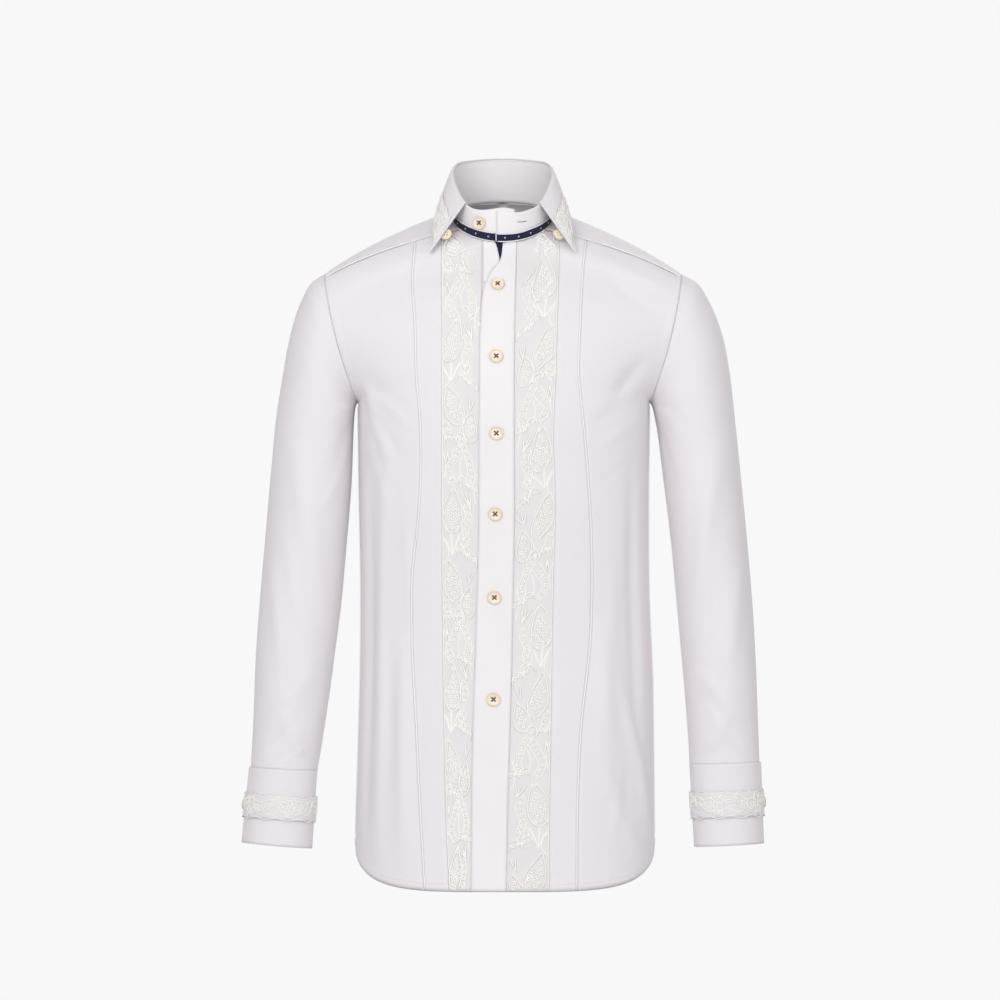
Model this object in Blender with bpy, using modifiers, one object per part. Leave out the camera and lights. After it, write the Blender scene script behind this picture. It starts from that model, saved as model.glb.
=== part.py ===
"""A long-sleeved dress shirt with lace fronts, hollow and in its worn pose.

Lengths in this file are millimetres, and the meshes are made in metres. The wearer faces -Y, +Z is up,
+X is the wearer's left. The origin lies between the shoulders, at the height of the front neck.
"""

import math

import bmesh
import bpy
import numpy as np
from mathutils import Matrix, Vector

MM = 0.001

# Lengths down the body
HEM_FRONT = -775.0
HEM_BACK = -785.0
HEM_SIDE = -723.0
HEM_CURVE = 3.0
ARMPIT = -201.0
NECK_FRONT = -12.0
NECK_SIDE = 18.0
NECK_BACK = 38.0

# Neck ring
NECK_HALF_WIDTH = 58.0
NECK_CENTRE_Y = 8.0
NECK_FRONT_DEPTH = 60.0
NECK_BACK_DEPTH = 66.0

# Armhole ring
ARMHOLE_CENTRE_Z = -125.0
ARMHOLE_HALF_HEIGHT = 76.0
ARMHOLE_HALF_DEPTH = 62.0
ARMHOLE_BULGE = 5.0
ARMHOLE_AWAY = (0.966, 0.0, -0.258)
ARMPIT_X = {-1: 171.0, 1: 174.0}
SHOULDER_TIP_X = {-1: 211.0, 1: 212.0}

# A row is a curve round the body: 0 is the hem, 1 the shoulder line
ROW_ARMPIT = 0.70
ROW_NECK_FRONT = 0.90
ROW_NECK_BACK = 0.93
ROW_YOKE_FRONT = 0.965
YOKE_SEAM_CENTRE = -70.0
YOKE_SEAM_ARMHOLE = -95.0
SECTION_POWER = 2.4
SHOULDER_SWEEP = 55.0

# Cloth
WALL = 1.0
BAND_WALL = 1.6
SEAM_INSET = 0.17
LAYER_GAP = 0.65
ARMHOLE_GAP = 0.45
LACE_RELIEF = 0.7
LACE_REPEAT = 57.0
LACE_SLANT = 0.08
LACE_CLEAR = 1.5

# Buttons
BUTTON_DIAMETER = 16.5
BUTTON_THICKNESS = 2.6
BUTTON_RIM = 1.5
BUTTON_DISH = 0.7
BUTTON_EDGE = 0.7
BUTTON_HOLE = 2.0
BUTTON_HOLE_SPACING = 3.6
BUTTON_SEAT = 0.45
SMALL_BUTTON_SCALE = 0.85
COLLAR_BUTTON_ANGLE = -27.0
COLLAR_BUTTON_SHARE = 0.55
POINT_BUTTON_ANGLE = 46.0
POINT_BUTTON_SHARE = 0.62
POINT_BUTTON_AHEAD = 2.5
POINT_BUTTON_GAP = 0.4

# Body sections: height, half width on the wearer's right and left, front and back depth
BODY_SECTIONS = (
    (-790, 175, 181, -122, 118),
    (-700, 174, 180, -119, 113),
    (-600, 171, 179, -116, 107),
    (-529, 169, 178, -115, 103),
    (-434, 168, 174, -115, 98),
    (-300, 170, 173, -121, 108),
    (-201, 171, 174, -120, 118),
    (-120, 171, 174, -107, 121),
    (-60, 171, 174, -84, 115),
    (-12, 171, 174, -52, 103),
    (60, 171, 174, -52, 74),
)

# Edges on the front: height, placket free edge, placket sewn edge, lace edge right, lace edge left,
# tuck line right, tuck line left, button band free edge, inner edge of the band's tape
FRONT_EDGES = (
    (-776, -36.6, 4.1, -63, 55, -91, 87, -4.4, -12.4),
    (-680, -36.0, 6.0, -67, 55.5, -97, 88, -2.5, -10.5),
    (-599, -34.8, 8.3, -69, 57, -101, 92, -0.2, -8.2),
    (-500, -31.5, 11.0, -70.5, 58.4, -106, 103, 2.5, -5.5),
    (-430, -29.3, 12.3, -71, 60, -106, 105, 3.8, -4.2),
    (-360, -27.7, 13.6, -71.4, 62, -98, 103, 5.1, -2.9),
    (-270, -27.4, 13.6, -71.4, 60, -96, 96, 5.1, -2.9),
    (-200, -27.0, 13.6, -71.4, 63, -101, 89.5, 5.1, -2.9),
    (-127, -25.8, 14.0, -71.4, 65, -103, 91.5, 5.5, -2.5),
    (-80, -21.2, 15.0, -72, 66.5, -106, 94, 6.5, -1.5),
    (-54, -12.0, 15.7, -72, 67, -105, 96, 6.5, -1.5),
    (-36, -2.6, 16.0, -72, 67, -104, 97, 6.0, -3.2),
    (-12, 0.6, 16.0, -72, 67, -103, 99, 2.2, -10.0),
)
LACE_RIGHT_INNER = -24.0
BAND_OUTER = -23.6
BAND_TAPE_LENGTH = 62.0
LACE_LEFT_UNDERLAP = 5.5

# Soft folds of the body: face (-1 front, 1 back), side, place across at the top and at the bottom
# (0 centre, 1 side seam), row at the top and at the bottom, width across, height
BODY_FOLDS = (
    (-1, -1, 0.56, 0.60, 0.66, 0.02, 0.055, 4.0),
    (-1, -1, 0.72, 0.74, 0.60, 0.05, 0.050, -3.5),
    (-1, -1, 0.43, 0.44, 0.36, 0.03, 0.060, 3.5),
    (-1, -1, 0.80, 0.55, 0.76, 0.60, 0.060, 4.0),
    (-1, 1, 0.44, 0.46, 0.38, 0.12, 0.060, 4.5),
    (-1, 1, 0.50, 0.86, 0.30, 0.02, 0.055, 3.5),
    (-1, 1, 0.66, 0.64, 0.62, 0.20, 0.055, -3.0),
    (-1, 1, 0.78, 0.50, 0.80, 0.68, 0.070, -4.0),
    (1, -1, 0.30, 0.34, 0.80, 0.10, 0.070, 4.5),
    (1, -1, 0.62, 0.58, 0.62, 0.05, 0.070, 4.0),
    (1, -1, 0.82, 0.55, 0.78, 0.62, 0.070, 4.0),
    (1, 1, 0.28, 0.24, 0.78, 0.14, 0.070, 4.5),
    (1, 1, 0.58, 0.62, 0.60, 0.04, 0.070, 4.0),
    (1, 1, 0.80, 0.50, 0.79, 0.64, 0.070, 4.0),
)

# Sleeves: share of the length, top or outer point (x, z), armpit or inner point (x, z)
SLEEVE_RIGHT = (
    (0.00, 211.0, -49, 171.0, -201),
    (0.03, 226.0, -59, 172.6, -203),
    (0.07, 239.5, -84, 174.0, -207),
    (0.13, 251.5, -122, 175.2, -215),
    (0.20, 260.0, -167, 176.2, -228),
    (0.28, 268.5, -222, 177.0, -248),
    (0.36, 273.5, -275, 178.5, -290),
    (0.50, 281.5, -367, 184.7, -370),
    (0.60, 287.3, -434, 190.6, -436),
    (0.70, 292.0, -500, 199.0, -502),
    (0.80, 294.0, -552, 206.0, -554),
    (0.90, 296.0, -600, 213.5, -603),
    (1.00, 298.0, -632, 219.0, -636),
)
SLEEVE_LEFT = (
    (0.00, 212.0, -49, 174.0, -201),
    (0.03, 229.0, -58, 175.6, -203),
    (0.07, 245.0, -82, 177.2, -206),
    (0.13, 260.0, -120, 179.0, -212),
    (0.20, 269.0, -165, 181.0, -222),
    (0.28, 275.5, -222, 184.5, -242),
    (0.36, 281.0, -275, 189.0, -280),
    (0.50, 290.0, -367, 200.0, -371),
    (0.60, 295.6, -434, 206.0, -437),
    (0.70, 299.5, -500, 212.0, -503),
    (0.80, 301.5, -552, 216.5, -555),
    (0.90, 303.0, -598, 219.8, -600),
    (1.00, 304.0, -626, 221.0, -628),
)
# Sleeves and cuffs from front to back: share of the length, half depth, middle
SLEEVE_DEPTHS = (
    (0.00, 62, 0),
    (0.07, 65, 0),
    (0.20, 67, 0),
    (0.36, 64, -2),
    (0.50, 60, -4),
    (0.60, 56, -6),
    (0.80, 48, -10),
    (0.90, 43, -12),
    (1.00, 39, -14),
)
# Cuff foot: outer point (x, z), inner point (x, z)
CUFF_FOOT = {-1: (307.0, -721, 225.0, -728), 1: (307.5, -722, 226.5, -726)}
CUFF_HALF_DEPTH = 39.0
CUFF_MIDDLE_Y = -16.0
CUFF_UNDER_END = 184.0
CUFF_OVER_END = 208.0
CUFF_RAMP = 32.0
CUFF_BUTTON_ANGLE = 197.0
CUFF_LACE_TOP = 0.34
CUFF_LACE_FOOT = 0.66

# Sleeve folds: angle round the tube at the top and at the bottom, share of the length at the top and
# at the bottom, width in degrees, height
SLEEVE_FOLDS = (
    (118, 62, 0.30, 0.60, 15, 3.5),
    (140, 84, 0.52, 0.78, 14, 3.0),
    (60, 120, 0.72, 0.86, 16, 3.0),
    (96, 60, 0.82, 0.95, 14, 2.5),
    (236, 300, 0.30, 0.62, 16, 3.5),
    (222, 280, 0.56, 0.80, 16, 3.0),
    (300, 236, 0.74, 0.92, 16, 2.5),
)
SLEEVE_PLACKET_ANGLE = 232.0
SLEEVE_PLACKET_HALF = 15.0
SLEEVE_PLACKET_TOP = 0.74
SLEEVE_PLACKET_GAP = 1.2

# Collar stand: angle from the centre front, height, lean outward at the top
STAND_HEIGHTS = (
    (0, 40.5, 1.0),
    (46, 34, 2.0),
    (66, 43, 1.5),
    (90, 52, 1.0),
    (112, 54.5, 0.0),
    (138, 51.5, -2.0),
    (180, 50, -4.0),
)
STAND_UNDER_END = 14.0
STAND_OVER_END = -6.4
STAND_RAMP = 22.0
STAND_OVER_DROP = 3.5
OVERLAP_STEP = 2.0
TAPE_HEIGHT = 9.6
TAPE_WALL = 1.0

# Leaf edge: angle from the centre front, x, y, z
LEAF_EDGE = (
    (46, 86, -56, -25),
    (58, 83.5, -42, -8.5),
    (74, 81.5, -15, 8.5),
    (92, 77.5, 14, 20),
    (112, 70, 42, 31),
    (132, 57, 64, 36),
    (152, 37, 82, 37),
    (180, 0, 91, 38),
)
LEAF_START = 46.0
LEAF_RISE = 0.7
LEAF_ROLL = 3.2
LEAF_ROLL_END = 0.14
LEAF_BULGE = 2.5
LEAF_BULGE_ANGLES = (40.0, 80.0)
LEAF_LACE_FROM = 0.40
LEAF_LACE_TO = 0.93
LEAF_LACE_END = 84.0
LEAF_LACE_GAP = 1.0

PLACKET_TOP_DROP = 2.0
PLACKET_BUTTONS = (
    (-5.3, -67),
    (-7.3, -152.5),
    (-7.3, -242.5),
    (-8.6, -337),
    (-9.6, -434.5),
    (-10.6, -553),
)

COLLECTION = "lace_shirt"
CUTTERS = "cutters"


def smooth_column(rows, column):
    """A smooth function of a table's first column, through the values of another column."""
    ordered = sorted(rows)
    places = np.array([row[0] for row in ordered], float)
    values = np.array([row[column] for row in ordered], float)
    slopes = np.gradient(values, places)

    def value_at(place):
        place = min(max(place, places[0]), places[-1])
        index = min(max(int(np.searchsorted(places, place, side="right")) - 1, 0), len(places) - 2)
        step = places[index + 1] - places[index]
        share = (place - places[index]) / step
        square = share * share
        cube = square * share
        return float(
            (2 * cube - 3 * square + 1) * values[index]
            + (cube - 2 * square + share) * step * slopes[index]
            + (3 * square - 2 * cube) * values[index + 1]
            + (cube - square) * step * slopes[index + 1]
        )

    return value_at


def smooth_columns(rows):
    """One smooth function for each column after a table's first."""
    return [smooth_column(rows, column) for column in range(1, len(rows[0]))]


def soft_step(low, high, value):
    """0 below low, 1 above high and a smooth rise between."""
    share = min(max((value - low) / (high - low), 0.0), 1.0)
    return share * share * (3 - 2 * share)


WIDTH_RIGHT, WIDTH_LEFT, FRONT_DEPTH, BACK_DEPTH = smooth_columns(BODY_SECTIONS)
(
    PLACKET_FREE,
    PLACKET_SEWN,
    LACE_EDGE_RIGHT,
    LACE_EDGE_LEFT,
    TUCK_RIGHT,
    TUCK_LEFT,
    BAND_FREE,
    BAND_TAPE_EDGE,
) = smooth_columns(FRONT_EDGES)
SLEEVE_ENDS = {-1: smooth_columns(SLEEVE_RIGHT), 1: smooth_columns(SLEEVE_LEFT)}
SLEEVE_HALF_DEPTH, SLEEVE_MIDDLE_Y = smooth_columns(SLEEVE_DEPTHS)
STAND_HEIGHT, STAND_LEAN = smooth_columns(STAND_HEIGHTS)
LEAF_X, LEAF_Y, LEAF_Z = smooth_columns(LEAF_EDGE)


def neck_ring(angle):
    """The neck seam; the angle in degrees is 0 at the centre front, positive to the wearer's left."""
    turn = math.radians(angle)
    cosine = math.cos(turn)
    depth = NECK_FRONT_DEPTH if cosine > 0 else NECK_BACK_DEPTH
    slope = (NECK_BACK - NECK_FRONT) / 2
    bow = (NECK_BACK + NECK_FRONT) / 2 - NECK_SIDE
    return np.array(
        [
            NECK_HALF_WIDTH * math.sin(turn),
            NECK_CENTRE_Y - depth * cosine,
            NECK_SIDE - slope * cosine + bow * cosine * cosine,
        ]
    )


def armhole_ring(side, face, angle):
    """The armhole seam; the angle is 0 at the armpit and 180 at the shoulder tip."""
    turn = math.radians(angle)
    height = ARMHOLE_CENTRE_Z - ARMHOLE_HALF_HEIGHT * math.cos(turn)
    share = (1 - math.cos(turn)) / 2
    out = ARMPIT_X[side] + (SHOULDER_TIP_X[side] - ARMPIT_X[side]) * share
    out += ARMHOLE_BULGE * math.sin(turn) ** 2
    return np.array([side * out, face * ARMHOLE_HALF_DEPTH * math.sin(turn), height])


def row_ends(side, face, row):
    """The inner and outer ends of a row, and the sweep and the slant of the curve between them."""
    row_neck = ROW_NECK_FRONT if face < 0 else ROW_NECK_BACK
    hem = HEM_FRONT if face < 0 else HEM_BACK
    neck = NECK_FRONT if face < 0 else NECK_BACK
    if row <= row_neck:
        height = hem + (neck - hem) * row / row_neck
        depth = FRONT_DEPTH(height) if face < 0 else BACK_DEPTH(height)
        inner = np.array([0.0, depth, height])
    else:
        angle = 90 * (row - row_neck) / (1 - row_neck)
        inner = neck_ring(angle if face < 0 else 180 - angle)
        inner[0] *= side
    if row <= ROW_ARMPIT:
        height = HEM_SIDE + (ARMPIT - HEM_SIDE) * row / ROW_ARMPIT
        width = WIDTH_RIGHT(height) if side < 0 else WIDTH_LEFT(height)
        outer = np.array([side * width, 0.0, height])
        sweep = 90.0
    else:
        angle = 180 * (row - ROW_ARMPIT) / (1 - ROW_ARMPIT)
        outer = armhole_ring(side, face, angle)
        sweep = 90.0 - (90.0 - SHOULDER_SWEEP) * math.sin(math.radians(angle / 2))
    slant = HEM_CURVE + (1 - HEM_CURVE) * min(row / ROW_ARMPIT, 1.0)
    return inner, outer, math.radians(sweep), slant


def body_surface(side, face, across, row):
    """A point of the body's plain outer surface: across is 0 at the centre and 1 at the side."""
    inner, outer, sweep, slant = row_ends(side, face, row)
    turn = across * sweep
    power = 2 / SECTION_POWER
    sideways = (math.sin(turn) / math.sin(sweep)) ** power if turn > 0 else 0.0
    last = max(math.cos(sweep), 0.0) ** power
    forward = (max(math.cos(turn), 0.0) ** power - last) / (1 - last)
    return np.array(
        [
            inner[0] + (outer[0] - inner[0]) * sideways,
            outer[1] + (inner[1] - outer[1]) * forward,
            inner[2] + (outer[2] - inner[2]) * across**slant,
        ]
    )


def across_at(side, face, row, x):
    """The place across a row at which the surface has a given distance from the centre plane."""
    inner, outer, sweep, _ = row_ends(side, face, row)
    share = (abs(x) - abs(inner[0])) / (abs(outer[0]) - abs(inner[0]))
    share = min(max(share, 0.0), 1.0)
    return math.asin(math.sin(sweep) * share ** (SECTION_POWER / 2)) / sweep


def body_normal(side, face, across, row):
    """The outward direction of the plain surface."""
    step = 0.004
    low_across, high_across = max(across - step, 0.0), min(across + step, 1.0)
    low_row, high_row = max(row - step, 0.0), min(row + step, 1.0)
    along = body_surface(side, face, high_across, row) - body_surface(side, face, low_across, row)
    upward = body_surface(side, face, across, high_row) - body_surface(side, face, across, low_row)
    normal = np.cross(along, upward) * side * -face
    return normal / np.linalg.norm(normal)


def body_fold(side, face, across, row):
    """How far the soft folds lift the cloth."""
    lift = 0.0
    for fold_face, fold_side, top, foot, row_top, row_foot, width, height in BODY_FOLDS:
        if fold_face != face or fold_side != side:
            continue
        share = (row - row_foot) / (row_top - row_foot)
        if not 0 < share < 1:
            continue
        centre = foot + (top - foot) * share
        distance = (across - centre) / width
        lift += height * math.exp(-distance * distance) * math.sin(math.pi * share) ** 0.7
    return lift * (1 - soft_step(0.86, 0.97, across)) * soft_step(0.02, 0.12, across)


def body_point(side, face, across, row, out=0.0):
    """A point of the folded cloth, moved out by a layer's height."""
    lift = body_fold(side, face, across, row) + out
    return body_surface(side, face, across, row) + body_normal(side, face, across, row) * lift


def front_top_row(x):
    """The row at which the front ends: the neck seam near the centre, the yoke seam further out."""
    if abs(x) >= NECK_HALF_WIDTH:
        return ROW_YOKE_FRONT
    angle = math.degrees(math.asin(abs(x) / NECK_HALF_WIDTH))
    return min(ROW_YOKE_FRONT, ROW_NECK_FRONT + (1 - ROW_NECK_FRONT) * angle / 90)


def front_height(rise):
    """The height of a place on the centre front, from its rise: 0 at the hem, 1 at the neck."""
    return HEM_FRONT + (NECK_FRONT - HEM_FRONT) * rise


def front_point(x, rise, out=0.0):
    """A point of the front at a distance x from the centre plane, moved out by a layer's height."""
    side = -1 if x < 0 else 1
    row = front_top_row(x) * rise
    across = across_at(side, -1, row, x)
    return body_point(side, -1, across, row, out)


def front_normal(x, rise):
    """The outward direction of the front there."""
    side = -1 if x < 0 else 1
    row = front_top_row(x) * rise
    return body_normal(side, -1, across_at(side, -1, row, x), row)


def inset(grid, distance, closed=False):
    """Draws the borders of a grid of points in, so that seams stay open by twice the distance."""
    result = np.array(grid, float)
    borders = [(0, 1), (-1, -2)]
    for border, neighbour in borders:
        step = result[neighbour] - result[border]
        result[border] += step / np.linalg.norm(step, axis=1, keepdims=True) * distance
    if not closed:
        for border, neighbour in borders:
            step = result[:, neighbour] - result[:, border]
            result[:, border] += step / np.linalg.norm(step, axis=1, keepdims=True) * distance
    return result


def make_material(name, colour, roughness, metallic=0.0):
    """A plain finish."""
    material = bpy.data.materials.new(name)
    material.use_nodes = True
    shader = material.node_tree.nodes["Principled BSDF"]
    shader.inputs["Base Color"].default_value = (*colour, 1.0)
    shader.inputs["Roughness"].default_value = roughness
    shader.inputs["Metallic"].default_value = metallic
    material.diffuse_color = (*colour, 1.0)
    return material


def link_mesh(name, mesh, material):
    """Puts a mesh into the shirt's collection under its part's name."""
    thing = bpy.data.objects.new(name, mesh)
    thing.data.materials.clear()
    thing.data.materials.append(material)
    bpy.data.collections[COLLECTION].objects.link(thing)
    return thing


def add_sheet(mesh, points, closed, turned):
    """Adds a grid of points to a bmesh as one sheet of faces and returns its vertices by row."""
    rows = [[mesh.verts.new(Vector(point) * MM) for point in row] for row in points]
    count = len(rows[0])
    for low, high in zip(rows, rows[1:]):
        for index in range(count if closed else count - 1):
            after = (index + 1) % count
            corners = [low[index], low[after], high[after], high[index]]
            mesh.faces.new(corners[::-1] if turned else corners)
    return rows


def faces_inward(points, centre):
    """True where a grid's faces look towards the centre line rather than away from it."""
    grid = np.array(points, float)
    along = grid[:-1, 1:] - grid[:-1, :-1]
    upward = grid[1:, :-1] - grid[:-1, :-1]
    normals = np.cross(along, upward)
    middles = (grid[:-1, :-1] + grid[1:, 1:]) / 2
    away = middles - np.array([centre(middle) for middle in middles.reshape(-1, 3)]).reshape(middles.shape)
    return float((normals * away).sum()) < 0


def make_cloth(name, grids, wall, material, centre, closed=False):
    """An open surface of one or more joined grids, given a wall on its inner side."""
    mesh = bmesh.new()
    for points in grids:
        add_sheet(mesh, points, closed, faces_inward(points, centre))
    bmesh.ops.remove_doubles(mesh, verts=mesh.verts, dist=0.00001)
    data = bpy.data.meshes.new(name)
    mesh.to_mesh(data)
    mesh.free()
    data.shade_smooth()
    thing = link_mesh(name, data, material)
    thickness = thing.modifiers.new("wall", "SOLIDIFY")
    thickness.thickness = wall * MM
    thickness.offset = -1.0
    return thing


def make_relief_wall(name, outer, inner, material, centre):
    """A wall whose outer points are raised over a plain inside."""
    mesh = bmesh.new()
    turned = faces_inward(outer, centre)
    front = add_sheet(mesh, outer, False, turned)
    back = add_sheet(mesh, inner, False, not turned)
    loops = []
    for rows in (front, back):
        foot, head = rows[0], rows[-1]
        right = [row[-1] for row in rows[1:-1]]
        left = [row[0] for row in rows[1:-1]]
        loops.append(foot + right + head[::-1] + left[::-1])
    count = len(loops[0])
    for index in range(count):
        after = (index + 1) % count
        corners = [loops[0][after], loops[0][index], loops[1][index], loops[1][after]]
        mesh.faces.new(corners[::-1] if turned else corners)
    data = bpy.data.meshes.new(name)
    mesh.to_mesh(data)
    mesh.free()
    data.shade_smooth()
    return link_mesh(name, data, material)


def body_axis(point):
    """The middle of the body at a point's height."""
    return (0.0, 0.0, point[2] - 40.0)


def sleeve_surface(side, share, angle):
    """A point of a sleeve's plain outer surface; the angle is 0 at the armpit side, 90 in front."""
    outer_x, outer_z, inner_x, inner_z = [column(share) for column in SLEEVE_ENDS[side]]
    turn = math.radians(angle)
    middle = np.array([(outer_x + inner_x) / 2, SLEEVE_MIDDLE_Y(share), (outer_z + inner_z) / 2])
    reach = np.array([inner_x - outer_x, 0.0, inner_z - outer_z]) / 2
    point = middle + reach * math.cos(turn)
    point[1] -= SLEEVE_HALF_DEPTH(share) * math.sin(turn)
    fade = 1 - soft_step(0.0, 0.12, share)
    point[0] += ARMHOLE_BULGE * math.sin(turn) ** 2 * fade
    point += np.array(ARMHOLE_AWAY) * ARMHOLE_GAP * (1 - soft_step(0.0, 0.2, share))
    point[0] *= side
    return point


def sleeve_centre(side):
    """A function that gives the middle of a sleeve or cuff near a point."""
    heights = [row[4] for row in reversed(SLEEVE_RIGHT)]
    shares = [row[0] for row in reversed(SLEEVE_RIGHT)]

    def centre(point):
        share = float(np.interp(point[2], heights, shares))
        outer_x, _, inner_x, _ = [column(share) for column in SLEEVE_ENDS[side]]
        return (side * (outer_x + inner_x) / 2, SLEEVE_MIDDLE_Y(share), point[2])

    return centre


def sleeve_normal(side, share, angle):
    """The outward direction of a sleeve."""
    step = 0.01
    low, high = max(share - step, 0.0), min(share + step, 1.0)
    round_step = sleeve_surface(side, share, angle + 2) - sleeve_surface(side, share, angle - 2)
    down_step = sleeve_surface(side, high, angle) - sleeve_surface(side, low, angle)
    normal = np.cross(round_step, down_step) * -side
    return normal / np.linalg.norm(normal)


def sleeve_fold(share, angle):
    """How far the soft folds lift the sleeve's cloth."""
    lift = 0.0
    for top, foot, share_top, share_foot, width, height in SLEEVE_FOLDS:
        along = (share - share_top) / (share_foot - share_top)
        if not 0 < along < 1:
            continue
        distance = ((angle % 360) - (top + (foot - top) * along)) / width
        lift += height * math.exp(-distance * distance) * math.sin(math.pi * along)
    return lift


def sleeve_point(side, share, angle, out=0.0):
    """A point of the folded sleeve, moved out by a layer's height."""
    lift = sleeve_fold(share, angle) + out
    return sleeve_surface(side, share, angle) + sleeve_normal(side, share, angle) * lift


def cuff_point(side, share, angle, out=0.0):
    """A point of the cuff; angles past a full turn lie on the end that overlaps."""
    outer_x, outer_z, inner_x, inner_z = [column(1.0) for column in SLEEVE_ENDS[side]]
    foot = CUFF_FOOT[side]
    outer = np.array([outer_x, 0.0, outer_z]) * (1 - share) + np.array([foot[0], 0.0, foot[1]]) * share
    inner = np.array([inner_x, 0.0, inner_z]) * (1 - share) + np.array([foot[2], 0.0, foot[3]]) * share
    over = soft_step(CUFF_UNDER_END + 360 - CUFF_RAMP, CUFF_UNDER_END + 360, angle) * OVERLAP_STEP
    turn = math.radians(angle)
    middle = (outer + inner) / 2
    middle[1] = SLEEVE_MIDDLE_Y(1.0) * (1 - share) + CUFF_MIDDLE_Y * share
    reach = (inner - outer) / 2
    half_width = np.linalg.norm(reach)
    point = middle + reach / half_width * (half_width + over + out) * math.cos(turn)
    depth = SLEEVE_HALF_DEPTH(1.0) * (1 - share) + CUFF_HALF_DEPTH * share
    point[1] -= (depth + over + out) * math.sin(turn)
    point[0] *= side
    return point


def stand_point(angle, share, out=0.0):
    """A point of the collar stand; the angle runs from the under end round the back to the over end."""
    base = neck_ring(angle)
    from_front = abs((angle + 180) % 360 - 180)
    turned = angle + 360
    over = soft_step(-STAND_RAMP, 0, -(turned - STAND_UNDER_END)) if turned < 90 else 0.0
    radial = np.array([math.sin(math.radians(angle)), -math.cos(math.radians(angle)), 0.0])
    height = STAND_HEIGHT(from_front)
    lean = STAND_LEAN(from_front)
    point = base + radial * (lean * share + over * OVERLAP_STEP + out)
    point[2] += 0.5 + (height - STAND_OVER_DROP * over) * share
    return point


def leaf_point(angle, share, out=0.0):
    """A point of the collar leaf: share 0 on top of the stand, 1 at the leaf's edge."""
    side = -1 if ((angle + 180) % 360 - 180) < 0 else 1
    from_front = abs((angle + 180) % 360 - 180)
    fold = stand_point(side * from_front, 1.0, -BAND_WALL / 2)
    radial = np.array([math.sin(math.radians(angle)), -math.cos(math.radians(angle)), 0.0])
    fold[2] += LEAF_RISE + WALL
    edge = np.array([side * LEAF_X(from_front), LEAF_Y(from_front), LEAF_Z(from_front)])
    if share < LEAF_ROLL_END:
        turn = share / LEAF_ROLL_END * math.pi / 2
        away = LEAF_ROLL * (1 - math.cos(turn)) + out * math.sin(turn)
        lift = LEAF_ROLL / 2 * math.sin(turn * 2) + out * math.cos(turn)
        return fold + radial * away + np.array([0.0, 0.0, lift])
    along = (share - LEAF_ROLL_END) / (1 - LEAF_ROLL_END)
    shoulder = fold + radial * LEAF_ROLL
    point = shoulder * (1 - along) + edge * along
    bulge = LEAF_BULGE * soft_step(*LEAF_BULGE_ANGLES, from_front)
    return point + radial * (bulge * math.sin(math.pi * along) + out)


def stations(*spans):
    """Places along a length: each span is its end and its number of steps, from 0."""
    places = [0.0]
    for end, steps in spans:
        start = places[-1]
        places += [start + (end - start) * (index + 1) / steps for index in range(steps)]
    return places


RISE_ARMPIT = ROW_ARMPIT / ROW_YOKE_FRONT
RISE_FINE = stations((RISE_ARMPIT, 24), (1.0, 14))
RISE_COARSE = stations((RISE_ARMPIT, 12), (1.0, 7))


def front_strip(edge_from, edge_to, rises, columns, out=0.0):
    """A grid between two edges of the front, each a function of the height."""
    grid = []
    for rise in rises:
        start, end = edge_from(front_height(rise)), edge_to(front_height(rise))
        places = [start + (end - start) * index / columns for index in range(columns + 1)]
        grid.append([front_point(x, rise, out) for x in places])
    return grid


def constant(value):
    """An edge that keeps its distance from the centre plane."""
    return lambda height: value


def make_front_sides(material):
    """The outer part of each front, from the tuck line to the side seam and the armhole."""
    columns = 12
    for name, side, tuck in (("front_right_side", -1, TUCK_RIGHT), ("front_left_side", 1, TUCK_LEFT)):
        grid = []
        for rise in RISE_COARSE:
            row = ROW_YOKE_FRONT * rise
            start = across_at(side, -1, row, tuck(front_height(rise)))
            places = [start + (1 - start) * index / columns for index in range(columns + 1)]
            grid.append([body_point(side, -1, across, row) for across in places])
        make_cloth(name, [inset(grid, SEAM_INSET)], WALL, material, body_axis)


def make_front_strips(material):
    """The narrow part of each front between the tuck line and the lace."""
    for name, tuck, lace in (
        ("front_right_strip", TUCK_RIGHT, LACE_EDGE_RIGHT),
        ("front_left_strip", TUCK_LEFT, LACE_EDGE_LEFT),
    ):
        grid = front_strip(tuck, lace, RISE_COARSE, 3)
        make_cloth(name, [inset(grid, SEAM_INSET)], WALL, material, body_axis)


def lace_places(side, height, columns):
    """The places across a lace strip: evenly over the part that shows, and its edge under the placket."""
    if side < 0:
        edge = LACE_EDGE_RIGHT(height)
        hidden = min(PLACKET_FREE(height) - LACE_CLEAR, LACE_RIGHT_INNER - LACE_CLEAR)
        shown = [edge + (hidden - edge) * index / columns for index in range(columns + 1)]
        return shown + [LACE_RIGHT_INNER]
    edge = LACE_EDGE_LEFT(height)
    sewn = PLACKET_SEWN(height)
    hidden = sewn + LACE_CLEAR
    shown = [hidden + (edge - hidden) * index / columns for index in range(columns + 1)]
    return [sewn - LACE_LEFT_UNDERLAP] + shown


def lace_relief(x, height):
    """How far the corded arches of the lace stand out from its net."""
    wave = 0.5 + 0.5 * math.cos(2 * math.pi * height / LACE_REPEAT + abs(x) * LACE_SLANT)
    return LACE_RELIEF * wave


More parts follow.
